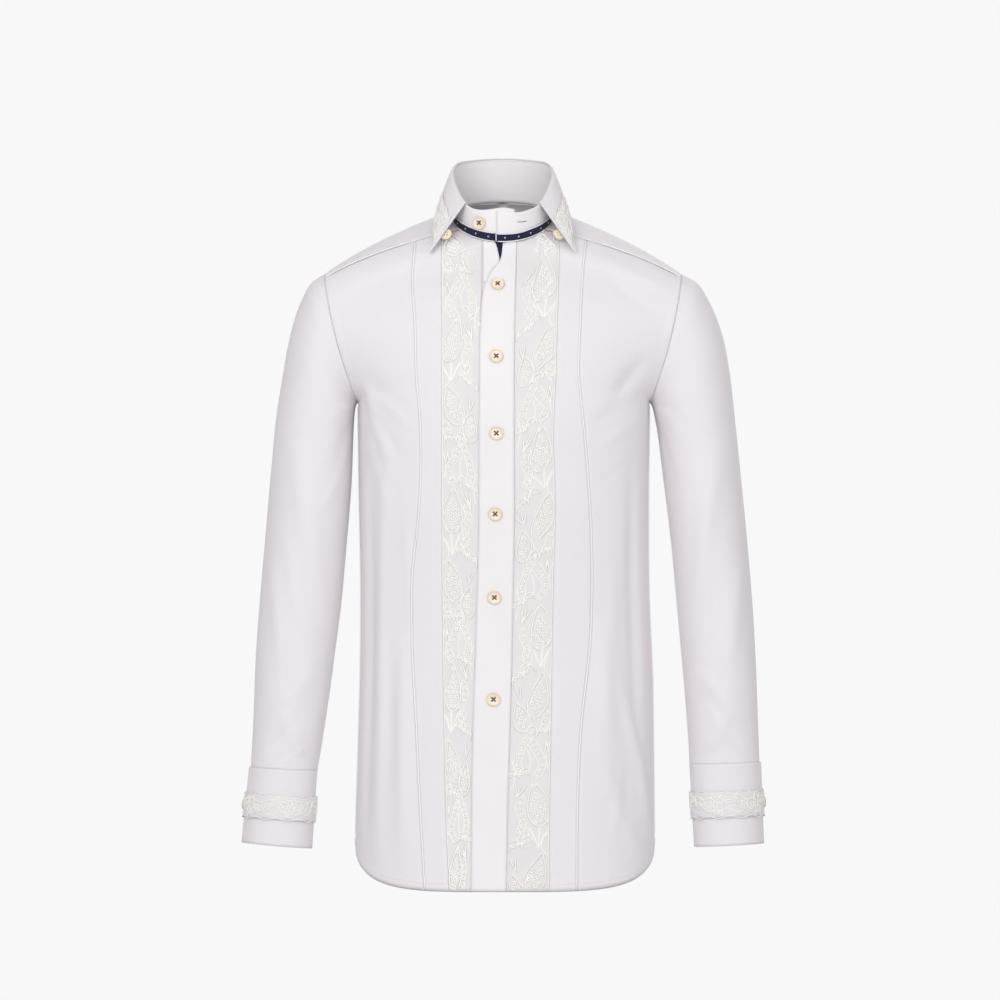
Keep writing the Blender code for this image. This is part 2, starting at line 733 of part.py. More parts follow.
def make_lace_strips(material):
    """The lace strips beside the placket, raised in their outer points over a plain inside."""
    columns = 4
    for name, side in (("lace_right", -1), ("lace_left", 1)):
        raised = range(1, columns) if side < 0 else range(2, columns + 1)
        layers = []
        for out in (0.0, -WALL):
            grid = []
            for rise in RISE_FINE:
                places = lace_places(side, front_height(rise), columns)
                grid.append([front_point(x, rise, out) for x in places])
            layers.append(inset(grid, SEAM_INSET))
        outer, inner = layers
        for index in range(1, len(RISE_FINE) - 1):
            for column in raised:
                x, _, height = outer[index][column]
                outer[index][column] += front_normal(x, RISE_FINE[index]) * lace_relief(x, height)
        make_relief_wall(name, outer, inner, material, body_axis)


def make_bands(cloth, tape):
    """The button band with its navy tape, and the placket that covers it."""
    tape_foot = 1 - BAND_TAPE_LENGTH / (NECK_FRONT - HEM_FRONT)
    tape_index = min(range(len(RISE_FINE)), key=lambda index: abs(RISE_FINE[index] - tape_foot))
    low, high = RISE_FINE[: tape_index + 1], RISE_FINE[tape_index:]
    outer = constant(BAND_OUTER)

    def band_row(rise, edges):
        return [front_point(edge(front_height(rise)), rise) for edge in edges]

    lower = inset([band_row(rise, (outer, BAND_TAPE_EDGE, BAND_FREE)) for rise in low], SEAM_INSET)
    upper = inset([band_row(rise, (outer, BAND_TAPE_EDGE)) for rise in high], SEAM_INSET)
    upper[0] = lower[-1][:2]
    make_cloth("button_band", [lower, upper], WALL, cloth, body_axis)
    strip = front_strip(BAND_TAPE_EDGE, BAND_FREE, high, 1)
    make_cloth("band_tape", [inset(strip, SEAM_INSET)], WALL, tape, body_axis)
    top = 1 - PLACKET_TOP_DROP / (NECK_FRONT - HEM_FRONT)
    grid = front_strip(PLACKET_FREE, PLACKET_SEWN, RISE_FINE[:-1] + [top], 3, LAYER_GAP + WALL)
    make_cloth("placket", [inset(grid, SEAM_INSET)], WALL, cloth, body_axis)


def yoke_seam_row(side, across):
    """The row at which the back meets the yoke, found from the seam's height."""
    height = YOKE_SEAM_CENTRE + (YOKE_SEAM_ARMHOLE - YOKE_SEAM_CENTRE) * across * across
    low, high = ROW_ARMPIT, 1.0
    for _ in range(30):
        middle = (low + high) / 2
        if body_surface(side, 1, across, middle)[2] < height:
            low = middle
        else:
            high = middle
    return low


def half_rows(side, face, row_places, steps):
    """A grid over one half of the body; each row is a function of the place across it."""
    grid = []
    for row_place in row_places:
        line = []
        for index in range(steps + 1):
            across = index / steps
            line.append(body_point(side, face, across, row_place(side, across)))
        grid.append(line)
    return grid


def joined_halves(right, left):
    """One grid from the two halves of a panel that meet at the centre."""
    return [list(one[::-1]) + list(other[1:]) for one, other in zip(right, left)]


def rows_below_yoke(share):
    """A row of the back between the armpit (0) and the yoke seam (1)."""
    return lambda side, across: ROW_ARMPIT + (yoke_seam_row(side, across) - ROW_ARMPIT) * share


def rows_above_seam(share):
    """A row of the yoke between its back seam (0) and the height of the back neck (1)."""

    def row_place(side, across):
        seam = yoke_seam_row(side, across)
        return seam + (ROW_NECK_BACK - seam) * share

    return row_place


def level_row(row):
    """A row that is the same all the way across."""
    return lambda side, across: row


def make_back_and_yoke(material):
    """The back panel, and the yoke that covers both shoulders."""
    steps = 12
    rows = [level_row(row) for row in stations((ROW_ARMPIT, 11))]
    rows += [rows_below_yoke((index + 1) / 4) for index in range(4)]
    back = joined_halves(half_rows(-1, 1, rows, steps), half_rows(1, 1, rows, steps))
    make_cloth("back", [inset(back, SEAM_INSET)], WALL, material, body_axis)
    saddle_rows = [rows_above_seam(index / 4) for index in range(5)]
    over_back = [level_row(ROW_NECK_BACK + (1 - ROW_NECK_BACK) * index / 3) for index in range(4)]
    over_front = [level_row(1 - (1 - ROW_YOKE_FRONT) * index / 2) for index in range(1, 3)]
    saddle = inset(
        joined_halves(half_rows(-1, 1, saddle_rows, steps), half_rows(1, 1, saddle_rows, steps)), SEAM_INSET
    )
    grids = [saddle]
    for side in (-1, 1):
        arm = half_rows(side, 1, over_back, steps) + half_rows(side, -1, over_front, steps)
        arm = inset(arm, SEAM_INSET)
        arm[0] = saddle[-1][: steps + 1][::-1] if side < 0 else saddle[-1][steps:]
        grids.append(arm)
    make_cloth("yoke", grids, WALL, material, body_axis)


def make_sleeves(material):
    """A sleeve tube on each side, with the placket strip at its opening behind."""
    shares = stations((0.12, 4), (0.36, 4), (1.0, 11))
    angles = [20 * index for index in range(18)]
    for name, side in (("right", -1), ("left", 1)):
        grid = [[sleeve_point(side, share, angle) for angle in angles] for share in shares]
        grid = inset(grid, SEAM_INSET, closed=True)
        make_cloth(f"sleeve_{name}", [grid], WALL, material, sleeve_centre(side), closed=True)
        strip_shares = [share for share in shares if share > SLEEVE_PLACKET_TOP]
        low = SLEEVE_PLACKET_ANGLE - SLEEVE_PLACKET_HALF
        strip_angles = [low + 2 * SLEEVE_PLACKET_HALF * index / 2 for index in range(3)]
        lift = SLEEVE_PLACKET_GAP + WALL
        strip = [[sleeve_point(side, share, angle, lift) for angle in strip_angles] for share in strip_shares]
        make_cloth(
            f"sleeve_placket_{name}", [inset(strip, SEAM_INSET * 2)], WALL, material, sleeve_centre(side)
        )


def make_cuffs(cloth, lace):
    """The cuffs, whose ends overlap, and the lace band on each."""
    steps = 26
    start, end = CUFF_UNDER_END, CUFF_OVER_END + 360
    lace_start = CUFF_OVER_END + 1.0
    for name, side in (("right", -1), ("left", 1)):
        angles = [start + (end - start) * index / steps for index in range(steps + 1)]
        grid = [[cuff_point(side, share, angle) for angle in angles] for share in (0.0, 0.5, 1.0)]
        make_cloth(f"cuff_{name}", [inset(grid, SEAM_INSET)], BAND_WALL, cloth, sleeve_centre(side))
        lace_angles = [angle for angle in angles if angle > lace_start]
        shares = (CUFF_LACE_TOP, CUFF_LACE_FOOT)
        band = [
            [cuff_point(side, share, angle, LAYER_GAP + WALL) for angle in lace_angles] for share in shares
        ]
        make_cloth(f"cuff_lace_{name}", [band], WALL, lace, sleeve_centre(side))


def collar_axis(point):
    """The middle of the collar at a point's height."""
    return (0.0, NECK_CENTRE_Y, point[2])


def make_collar(cloth, lace, tape):
    """The stand with its navy tape, the leaf that folds over it, and the lace on the points."""
    steps = 34
    start, end = STAND_UNDER_END, STAND_OVER_END - 360
    angles = [start + (end - start) * index / steps for index in range(steps + 1)]
    stand = [[stand_point(angle, share) for angle in angles] for share in (0.0, 0.5, 1.0)]
    make_cloth("collar_stand", [stand], BAND_WALL, cloth, collar_axis)
    tape_angles = [angle for angle in angles if angle < STAND_OVER_END - 1.0]
    tape_rows = []
    for lift in (0.0, TAPE_HEIGHT):
        row = []
        for angle in tape_angles:
            from_front = abs((angle + 180) % 360 - 180)
            share = lift / STAND_HEIGHT(from_front)
            row.append(stand_point(angle, share, LAYER_GAP + TAPE_WALL))
        tape_rows.append(row)
    make_cloth("neck_tape", [tape_rows], TAPE_WALL, tape, collar_axis)
    leaf_steps = 24
    leaf_shares = (0.0, 0.07, 0.14, 0.35, 0.57, 0.79, 1.0)
    leaf_angles = [
        -LEAF_START - (360 - 2 * LEAF_START) * index / leaf_steps for index in range(leaf_steps + 1)
    ]
    leaf = [[leaf_point(angle, share) for angle in leaf_angles] for share in leaf_shares]
    make_cloth("collar_fall", [leaf], WALL, cloth, collar_axis)
    for name, side in (("right", -1), ("left", 1)):
        lace_angles = [side * abs(angle) for angle in leaf_angles if abs(angle) < LEAF_LACE_END]
        lace_shares = [share for share in leaf_shares if LEAF_LACE_FROM < share < LEAF_LACE_TO]
        lace_shares.append(LEAF_LACE_TO)
        lift = LEAF_LACE_GAP + WALL
        patch = [[leaf_point(angle, share, lift) for angle in lace_angles] for share in lace_shares]
        make_cloth(f"collar_lace_{name}", [inset(patch, 1.5)], WALL, lace, collar_axis)


def button_mesh(material):
    """One four-hole button, turned from its profile and drilled, lying on its back at the origin."""
    radius = BUTTON_DIAMETER / 2
    profile = (
        (0.0, BUTTON_THICKNESS - BUTTON_DISH),
        (radius - BUTTON_RIM - BUTTON_EDGE, BUTTON_THICKNESS - BUTTON_DISH),
        (radius - BUTTON_RIM, BUTTON_THICKNESS),
        (radius, BUTTON_THICKNESS - BUTTON_EDGE),
        (radius - BUTTON_EDGE, 0.0),
        (0.0, 0.0),
    )
    outline = bmesh.new()
    points = [outline.verts.new((x * MM, 0.0, z * MM)) for x, z in profile]
    for one, other in zip(points, points[1:]):
        outline.edges.new((one, other))
    data = bpy.data.meshes.new("button_profile")
    outline.to_mesh(data)
    outline.free()
    turned = link_mesh("button_master", data, material)
    screw = turned.modifiers.new("turn", "SCREW")
    screw.steps = 14
    screw.render_steps = 14
    screw.use_merge_vertices = True
    screw.merge_threshold = 0.00001
    drill = bmesh.new()
    for across, up in ((1, 1), (1, -1), (-1, 1), (-1, -1)):
        place = Matrix.Translation(
            (
                across * BUTTON_HOLE_SPACING / 2 * MM,
                up * BUTTON_HOLE_SPACING / 2 * MM,
                BUTTON_THICKNESS / 2 * MM,
            )
        )
        bmesh.ops.create_cone(
            drill,
            cap_ends=True,
            segments=4,
            radius1=BUTTON_HOLE / 2 * MM,
            radius2=BUTTON_HOLE / 2 * MM,
            depth=3 * BUTTON_THICKNESS * MM,
            matrix=place,
        )
    drill_data = bpy.data.meshes.new("button_drill")
    drill.to_mesh(drill_data)
    drill.free()
    cutter = bpy.data.objects.new("button_drill", drill_data)
    cutter.hide_render = True
    cutter.display_type = "WIRE"
    bpy.data.collections[CUTTERS].objects.link(cutter)
    holes = turned.modifiers.new("holes", "BOOLEAN")
    holes.object = cutter
    holes.operation = "DIFFERENCE"
    bpy.context.view_layer.update()
    finished = bpy.data.meshes.new_from_object(turned.evaluated_get(bpy.context.evaluated_depsgraph_get()))
    finished.name = "button"
    bpy.data.objects.remove(turned)
    return finished


def place_button(name, mesh, point, normal, material, scale=1.0):
    """A button with its back a little above a place on the cloth."""
    thing = link_mesh(name, mesh, material)
    outward = Vector(normal).normalized()
    turn = outward.to_track_quat("Z", "Y")
    thing.matrix_world = (
        Matrix.Translation((Vector(point) + outward * BUTTON_SEAT) * MM)
        @ turn.to_matrix().to_4x4()
        @ Matrix.Scale(scale, 4)
    )
    return thing


def make_buttons(material):
    """Every button of the shirt."""
    mesh = button_mesh(material)
    for number, (x, height) in enumerate(PLACKET_BUTTONS, start=1):
        rise = (height - HEM_FRONT) / (NECK_FRONT - HEM_FRONT)
        point = front_point(x, rise, LAYER_GAP + WALL)
        place_button(f"placket_button_{number}", mesh, point, front_normal(x, rise), material)
    angle, share = COLLAR_BUTTON_ANGLE, COLLAR_BUTTON_SHARE
    upward = stand_point(angle, share + 0.05) - stand_point(angle, share - 0.05)
    sideways = stand_point(angle + 2, share) - stand_point(angle - 2, share)
    place_button("collar_button", mesh, stand_point(angle, share), np.cross(sideways, upward), material)
    for name, side in (("right", -1), ("left", 1)):
        angle, share = side * POINT_BUTTON_ANGLE, POINT_BUTTON_SHARE
        down = leaf_point(angle, share + 0.1) - leaf_point(angle, share - 0.1)
        along = leaf_point(angle + side * 8, share) - leaf_point(angle, share)
        inward = np.cross(down, along) * -side
        inward = inward / np.linalg.norm(inward)
        ahead = along / np.linalg.norm(along) * -POINT_BUTTON_AHEAD
        point = leaf_point(angle, share) + ahead + inward * (WALL + POINT_BUTTON_GAP)
        place_button(f"collar_point_button_{name}", mesh, point, inward, material, SMALL_BUTTON_SCALE)
        turn = CUFF_BUTTON_ANGLE + 360
        around = cuff_point(side, 0.5, turn + 2) - cuff_point(side, 0.5, turn - 2)
        length = cuff_point(side, 0.6, turn) - cuff_point(side, 0.4, turn)
        outward = np.cross(around, length) * -side
        point = cuff_point(side, 0.5, turn, LAYER_GAP + WALL)
        place_button(f"cuff_button_{name}", mesh, point, outward, material, SMALL_BUTTON_SCALE)


def clear_scene():
    """Removes every object of the scene and makes the two collections."""
    for thing in list(bpy.data.objects):
        bpy.data.objects.remove(thing, do_unlink=True)
    for name in (COLLECTION, CUTTERS):
        collection = bpy.data.collections.new(name)
        bpy.context.scene.collection.children.link(collection)


def main():
    """Builds the shirt."""
    clear_scene()
    cotton = make_material("white_cotton", (0.84, 0.81, 0.83), 0.85)
    band_cotton = make_material("white_band_cotton", (0.88, 0.87, 0.88), 0.8)
    lace = make_material("cream_lace", (0.86, 0.82, 0.77), 0.8)
    tape = make_material("navy_tape", (0.014, 0.013, 0.045), 0.7)
    pearl = make_material("cream_button", (0.84, 0.73, 0.56), 0.3)
    make_back_and_yoke(cotton)
    make_front_sides(cotton)
    make_front_strips(cotton)
    make_lace_strips(lace)
    make_bands(band_cotton, tape)
    make_sleeves(cotton)
    make_cuffs(band_cotton, lace)
    make_collar(band_cotton, lace, tape)
    make_buttons(pearl)


main()
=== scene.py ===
"""A long-sleeved dress shirt with lace fronts: its cloth, lace, sewing and buttons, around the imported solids.

Lengths in this file are millimetres, and the meshes are made in metres. The wearer faces -Y, +Z is up,
+X is the wearer's left. The origin lies between the shoulders, at the height of the front neck.
"""

import math

import bmesh
import bpy
import numpy as np
from mathutils import Matrix, Vector


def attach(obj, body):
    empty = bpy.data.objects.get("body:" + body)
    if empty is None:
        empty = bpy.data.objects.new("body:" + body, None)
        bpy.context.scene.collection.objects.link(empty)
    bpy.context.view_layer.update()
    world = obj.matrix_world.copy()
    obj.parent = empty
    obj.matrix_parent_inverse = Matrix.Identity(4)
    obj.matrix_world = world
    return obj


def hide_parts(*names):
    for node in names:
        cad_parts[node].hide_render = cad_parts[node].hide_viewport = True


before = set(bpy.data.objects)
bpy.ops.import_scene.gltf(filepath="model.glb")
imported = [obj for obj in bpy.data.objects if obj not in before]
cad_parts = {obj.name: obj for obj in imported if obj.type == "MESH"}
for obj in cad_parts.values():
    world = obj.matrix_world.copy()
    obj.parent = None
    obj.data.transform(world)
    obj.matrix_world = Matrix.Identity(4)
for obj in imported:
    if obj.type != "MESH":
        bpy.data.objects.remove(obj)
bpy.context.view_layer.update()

MM = 0.001

# Lengths down the body
HEM_FRONT = -775.0
HEM_BACK = -785.0
HEM_SIDE = -723.0
HEM_CURVE = 3.0
ARMPIT = -201.0
NECK_FRONT = -12.0
NECK_SIDE = 18.0
NECK_BACK = 38.0

# Neck ring
NECK_HALF_WIDTH = 58.0
NECK_CENTRE_Y = 8.0
NECK_FRONT_DEPTH = 60.0
NECK_BACK_DEPTH = 66.0

# Armhole ring
ARMHOLE_CENTRE_Z = -125.0
ARMHOLE_HALF_HEIGHT = 76.0
ARMHOLE_HALF_DEPTH = 62.0
ARMHOLE_BULGE = 5.0
ARMHOLE_AWAY = (0.966, 0.0, -0.258)
ARMHOLE_GAP = 0.45
ARMPIT_X = {-1: 171.0, 1: 174.0}
SHOULDER_TIP_X = {-1: 211.0, 1: 212.0}

# A row is a curve round the body: 0 is the hem, 1 the shoulder line
ROW_ARMPIT = 0.70
ROW_NECK_FRONT = 0.90
ROW_NECK_BACK = 0.93
ROW_YOKE_FRONT = 0.965
YOKE_SEAM_CENTRE = -70.0
YOKE_SEAM_ARMHOLE = -95.0
SECTION_POWER = 2.4
SHOULDER_SWEEP = 55.0

# Steps along a surface to find its outward direction: body (places), sleeve (share, degrees)
BODY_STEP = 0.004
SLEEVE_STEP = (0.01, 2.0)

# Rows and columns of the pieces' grids
FRONT_ROWS = 190
SIDE_COLUMNS = 34
STRIP_COLUMNS = 12
LACE_COLUMNS = 14
BAND_ROWS = 170
BAND_TOP_ROWS = 20
BAND_COLUMNS = 7
TAPE_LINES = 4
PLACKET_ROWS = 200
HALF_COLUMNS = 48
BACK_ROWS = 120
BACK_TOP_ROWS = 24
SADDLE_ROWS = 14
BEHIND_ROWS = 12
AHEAD_ROWS = 8
HEAD_ROWS = 22
SLEEVE_ROWS = 130
SLEEVE_TURN = 5.0
SLEEVE_PLACKET_ROWS = 30
SLEEVE_PLACKET_COLUMNS = 8
CUFF_ROWS = 26
CUFF_COLUMNS = 96
CUFF_LACE_ROWS = 8
COLLAR_COLUMNS = 120
STAND_ROWS = 14
LEAF_ROLL_ROWS = 8
LEAF_ROWS = 22
LEAF_LACE_ROWS = 14
LEAF_LACE_COLUMNS = 26

# Steps along a surface beside a cord: sleeve, edges of cuffs and leaf, stand
SLEEVE_STEPS = (0.001, 0.5)
EDGE_STEPS = (0.5, 0.005)
STAND_STEPS = (0.5, 0.01)

# Places of stitches, rolls and edges
LACE_STITCHES = (1.2, 5.0)
TUCK_STITCH = 2.6
ARMHOLE_STITCH = 1.4
SLEEVE_SEAM_STITCHES = (355.0, 5.0)
SLEEVE_PLACKET_LIFT = 2.0
FRONT_SEWING_STEP = 2.5
LEAF_EDGE_STITCH = 3.4
EDGE_ROLL_PLACE = 1.0
FOOT_ROLL_SHARE = 0.995
FOOT_ROLL = (1.6, 0.7)
SLIT_RISE = 0.04
SLIT_CORD = (0.9, 0.35)
TAPE_DOT_HEIGHT = 0.35
TAPE_EDGE_INSET = 0.4

# Cloth
SHELL = 0.9
TAPE_SHELL = 0.8
LACE_SHELL = 0.6
BAND_SHELL = 1.5
SEAM_INSET = -0.15
LAYER = 1.65

# Body sections: height, half width on the wearer's right and left, front and back depth
BODY_SECTIONS = (
    (-790, 175, 181, -122, 118),
    (-700, 174, 180, -119, 113),
    (-600, 171, 179, -116, 107),
    (-529, 169, 178, -115, 103),
    (-434, 168, 174, -115, 98),
    (-300, 170, 173, -121, 108),
    (-201, 171, 174, -120, 118),
    (-120, 171, 174, -107, 121),
    (-60, 171, 174, -84, 115),
    (-12, 171, 174, -52, 103),
    (60, 171, 174, -52, 74),
)

# Edges on the front: height, placket free edge, placket sewn edge, lace edge right, lace edge left,
# tuck line right, tuck line left, button band free edge, inner edge of the band's tape
FRONT_EDGES = (
    (-776, -36.6, 4.1, -63, 55, -91, 87, -4.4, -12.4),
    (-680, -36.0, 6.0, -67, 55.5, -97, 88, -2.5, -10.5),
    (-599, -34.8, 8.3, -69, 57, -101, 92, -0.2, -8.2),
    (-500, -31.5, 11.0, -70.5, 58.4, -106, 103, 2.5, -5.5),
    (-430, -29.3, 12.3, -71, 60, -106, 105, 3.8, -4.2),
    (-360, -27.7, 13.6, -71.4, 62, -98, 103, 5.1, -2.9),
    (-270, -27.4, 13.6, -71.4, 60, -96, 96, 5.1, -2.9),
    (-200, -27.0, 13.6, -71.4, 63, -101, 89.5, 5.1, -2.9),
    (-127, -25.8, 14.0, -71.4, 65, -103, 91.5, 5.5, -2.5),
    (-80, -21.2, 15.0, -72, 66.5, -106, 94, 6.5, -1.5),
    (-54, -12.0, 15.7, -72, 67, -105, 96, 6.5, -1.5),
    (-36, -2.6, 16.0, -72, 67, -104, 97, 6.0, -3.2),
    (-12, 0.6, 16.0, -72, 67, -103, 99, 2.2, -10.0),
)
LACE_RIGHT_INNER = -24.0
BAND_OUTER = -23.6
BAND_TAPE_LENGTH = 62.0
LACE_LEFT_UNDERLAP = 5.5
PLACKET_TOP_DROP = 2.0
PLACKET_BUTTONS = (
    (-5.3, -67),
    (-7.3, -152.5),
    (-7.3, -242.5),
    (-8.6, -337),
    (-9.6, -434.5),
    (-10.6, -553),
)

# How folds and creases fade out: at their ends, towards the side seam, the centre and the shoulder
FOLD_FADE = 0.7
FOLD_SIDE_FADE = (0.86, 0.97)
FOLD_CENTRE_FADE = (0.02, 0.12)
CREASE_SIDE_FADE = (0.90, 0.99)
CREASE_TOP_FADE = (0.90, 0.97)
# The hollow beside a crease: share of its height, place in half widths
HOLLOW_SHARE = 0.35
HOLLOW_PLACE = 1.7

# Soft folds of the body: face (-1 front, 1 back), side, place across at the top and at the bottom
# (0 centre, 1 side seam), row at the top and at the bottom, width across, height
BODY_FOLDS = (
    (-1, -1, 0.56, 0.60, 0.66, 0.02, 0.055, 4.0),
    (-1, -1, 0.72, 0.74, 0.60, 0.05, 0.050, -3.5),
    (-1, -1, 0.43, 0.44, 0.36, 0.03, 0.060, 3.5),
    (-1, -1, 0.80, 0.55, 0.76, 0.60, 0.060, 4.0),
    (-1, 1, 0.44, 0.46, 0.38, 0.12, 0.060, 4.5),
    (-1, 1, 0.50, 0.86, 0.30, 0.02, 0.055, 3.5),
    (-1, 1, 0.66, 0.64, 0.62, 0.20, 0.055, -3.0),
    (-1, 1, 0.78, 0.50, 0.80, 0.68, 0.070, -4.0),
    (1, -1, 0.30, 0.34, 0.80, 0.10, 0.070, 4.5),
    (1, -1, 0.62, 0.58, 0.62, 0.05, 0.070, 4.0),
    (1, -1, 0.82, 0.55, 0.78, 0.62, 0.070, 4.0),
    (1, 1, 0.28, 0.24, 0.78, 0.14, 0.070, 4.5),
    (1, 1, 0.58, 0.62, 0.60, 0.04, 0.070, 4.0),
    (1, 1, 0.80, 0.50, 0.79, 0.64, 0.070, 4.0),
)

# Fine creases of the front and of the back: x and z at the top and at the foot, half width, height,
# sideways bow
FRONT_CREASES = (
    (-168, -182, -106, -236, 6.0, 1.6, 4),
    (-165, -200, -118, -272, 5.0, -1.4, 3),
    (-160, -225, -132, -330, 5.5, 1.2, -3),
    (-146, -290, -152, -745, 6.0, 1.3, 5),
    (-133, -330, -130, -620, 5.5, -1.2, -4),
    (-118, -300, -112, -470, 5.0, 1.0, 3),
    (-116, -480, -112, -735, 8.0, 1.8, -3),
    (-158, -430, -163, -720, 4.5, -1.0, 2),
    (-86, -285, -125, -390, 5.0, 0.9, 3),
    (-150, -60, -108, -50, 5.0, -1.0, 2),
    (-96, -50, -42, -44, 4.5, -0.9, 1),
    (-98, -68, -44, -63, 4.0, 0.8, 1),
    (-165, -110, -110, -95, 6.0, 1.0, 3),
    (110, -24, 196, -66, 6.0, 1.1, -3),
    (116, -44, 200, -110, 6.0, -1.2, -4),
    (112, -120, 168, -150, 6.5, 1.0, 4),
    (103, -230, 168, -198, 8.0, -1.6, 3),
    (106, -262, 166, -222, 6.0, 1.2, 3),
    (112, -300, 158, -268, 5.0, -0.9, 2),
    (114, -455, 110, -628, 9.0, 1.9, 4),
    (97, -552, 166, -748, 7.5, 1.6, -5),
    (128, -360, 140, -560, 6.0, 1.1, -3),
    (152, -330, 158, -690, 5.0, -1.1, 3),
    (140, -600, 128, -735, 5.5, 1.1, 2),
)
BACK_CREASES = (
    (-160, -180, -84, -250, 7.0, 1.7, 5),
    (-158, -215, -100, -330, 6.0, -1.4, 4),
    (-60, -120, -70, -420, 8.0, 1.5, -5),
    (-32, -240, -40, -700, 7.0, -1.3, 6),
    (-118, -320, -126, -690, 7.5, 1.5, -5),
    (22, -110, 30, -380, 7.0, 1.2, 4),
    (60, -260, 52, -720, 7.5, 1.4, -6),
    (96, -300, 112, -620, 6.5, -1.3, 4),
    (162, -176, 92, -246, 7.0, 1.8, -5),
    (160, -214, 108, -310, 6.0, -1.4, -4),
    (134, -420, 140, -710, 6.0, 1.2, 3),
    (-6, -480, 6, -740, 7.0, 1.1, 3),
)

# Sleeves: share of the length, top or outer point (x, z), armpit or inner point (x, z)
SLEEVE_RIGHT = (
    (0.00, 211.0, -49, 171.0, -201),
    (0.03, 226.0, -59, 172.6, -203),
    (0.07, 239.5, -84, 174.0, -207),
    (0.13, 251.5, -122, 175.2, -215),
    (0.20, 260.0, -167, 176.2, -228),
    (0.28, 268.5, -222, 177.0, -248),
    (0.36, 273.5, -275, 178.5, -290),
    (0.50, 281.5, -367, 184.7, -370),
    (0.60, 287.3, -434, 190.6, -436),
    (0.70, 292.0, -500, 199.0, -502),
    (0.80, 294.0, -552, 206.0, -554),
    (0.90, 296.0, -600, 213.5, -603),
    (1.00, 298.0, -632, 219.0, -636),
)
SLEEVE_LEFT = (
    (0.00, 212.0, -49, 174.0, -201),
    (0.03, 229.0, -58, 175.6, -203),
    (0.07, 245.0, -82, 177.2, -206),
    (0.13, 260.0, -120, 179.0, -212),
    (0.20, 269.0, -165, 181.0, -222),
    (0.28, 275.5, -222, 184.5, -242),
    (0.36, 281.0, -275, 189.0, -280),
    (0.50, 290.0, -367, 200.0, -371),
    (0.60, 295.6, -434, 206.0, -437),
    (0.70, 299.5, -500, 212.0, -503),
    (0.80, 301.5, -552, 216.5, -555),
    (0.90, 303.0, -598, 219.8, -600),
    (1.00, 304.0, -626, 221.0, -628),
)
# Sleeves and cuffs from front to back: share of the length, half depth, middle
SLEEVE_DEPTHS = (
    (0.00, 62, 0),
    (0.07, 65, 0),
    (0.20, 67, 0),
    (0.36, 64, -2),
    (0.50, 60, -4),
    (0.60, 56, -6),
    (0.80, 48, -10),
    (0.90, 43, -12),
    (1.00, 39, -14),
)
# Shares of a sleeve's length over which its gap to the armhole and its head's bulge fade out
GAP_FADE = 0.2
HEAD_SHARE = 0.12
SLEEVE_LENGTH = 590.0
SLEEVE_ROUND = 0.85
# Cuff foot: outer point (x, z), inner point (x, z)
CUFF_FOOT = {-1: (307.0, -721, 225.0, -728), 1: (307.5, -722, 226.5, -726)}
CUFF_HALF_DEPTH = 39.0
CUFF_MIDDLE_Y = -16.0
CUFF_UNDER_END = 184.0
CUFF_OVER_END = 208.0
CUFF_RAMP = 32.0
CUFF_BUTTON_ANGLE = 197.0
CUFF_LACE_TOP = 0.34
CUFF_LACE_FOOT = 0.66

# Sleeve folds: angle round the tube at the top and at the bottom, share of the length at the top and
# at the bottom, width in degrees, height
SLEEVE_FOLDS = (
    (118, 62, 0.30, 0.60, 15, 3.5),
    (140, 84, 0.52, 0.78, 14, 3.0),
    (60, 120, 0.72, 0.86, 16, 3.0),
    (96, 60, 0.82, 0.95, 14, 2.5),
    (236, 300, 0.30, 0.62, 16, 3.5),
    (222, 280, 0.56, 0.80, 16, 3.0),
    (300, 236, 0.74, 0.92, 16, 2.5),
)
# Fine creases of each sleeve: share of the length and angle at the top and at the foot, half width,
# height, sideways bow
SLEEVE_CREASES = {
    -1: (
        (0.10, 20, 0.26, 70, 7.0, 1.5, 4),
        (0.16, 12, 0.34, 50, 6.0, -1.3, 4),
        (0.30, 30, 0.46, 84, 6.0, 1.2, -3),
        (0.50, 118, 0.72, 60, 6.5, 1.5, 4),
        (0.56, 128, 0.80, 92, 6.0, -1.2, -4),
        (0.78, 60, 0.88, 110, 5.0, 1.3, 3),
        (0.84, 76, 0.93, 126, 4.5, -1.1, -3),
        (0.90, 52, 0.97, 80, 4.5, 1.0, 2),
        (0.20, 300, 0.50, 260, 7.0, 1.4, 4),
        (0.44, 250, 0.70, 292, 6.5, -1.3, 4),
        (0.66, 286, 0.92, 248, 6.0, 1.2, -4),
    ),
    1: (
        (0.12, 16, 0.30, 60, 7.0, 1.4, 4),
        (0.20, 8, 0.38, 40, 6.0, -1.2, 3),
        (0.40, 96, 0.62, 76, 7.0, 1.0, -4),
        (0.62, 110, 0.84, 74, 6.0, -1.0, 4),
        (0.80, 62, 0.92, 100, 5.0, 1.1, 3),
        (0.90, 92, 0.98, 120, 4.5, -0.9, -2),
        (0.24, 290, 0.54, 250, 7.0, 1.4, -4),
        (0.52, 262, 0.78, 300, 6.5, -1.2, 4),
        (0.74, 290, 0.95, 256, 6.0, 1.2, 4),
    ),
}
SLEEVE_PLACKET_ANGLE = 232.0
SLEEVE_PLACKET_HALF = 15.0
SLEEVE_PLACKET_TOP = 0.74

# Collar stand: angle from the centre front, height, lean outward at the top
STAND_HEIGHTS = (
    (0, 40.5, 1.0),
    (46, 34, 2.0),
    (66, 43, 1.5),
    (90, 52, 1.0),
    (112, 54.5, 0.0),
    (138, 51.5, -2.0),
    (180, 50, -4.0),
)
STAND_UNDER_END = 14.0
STAND_OVER_END = -6.4
STAND_RAMP = 22.0
STAND_OVER_DROP = 3.5
STAND_GAP = 0.5
OVERLAP_STEP = 2.0
TAPE_HEIGHT = 9.6

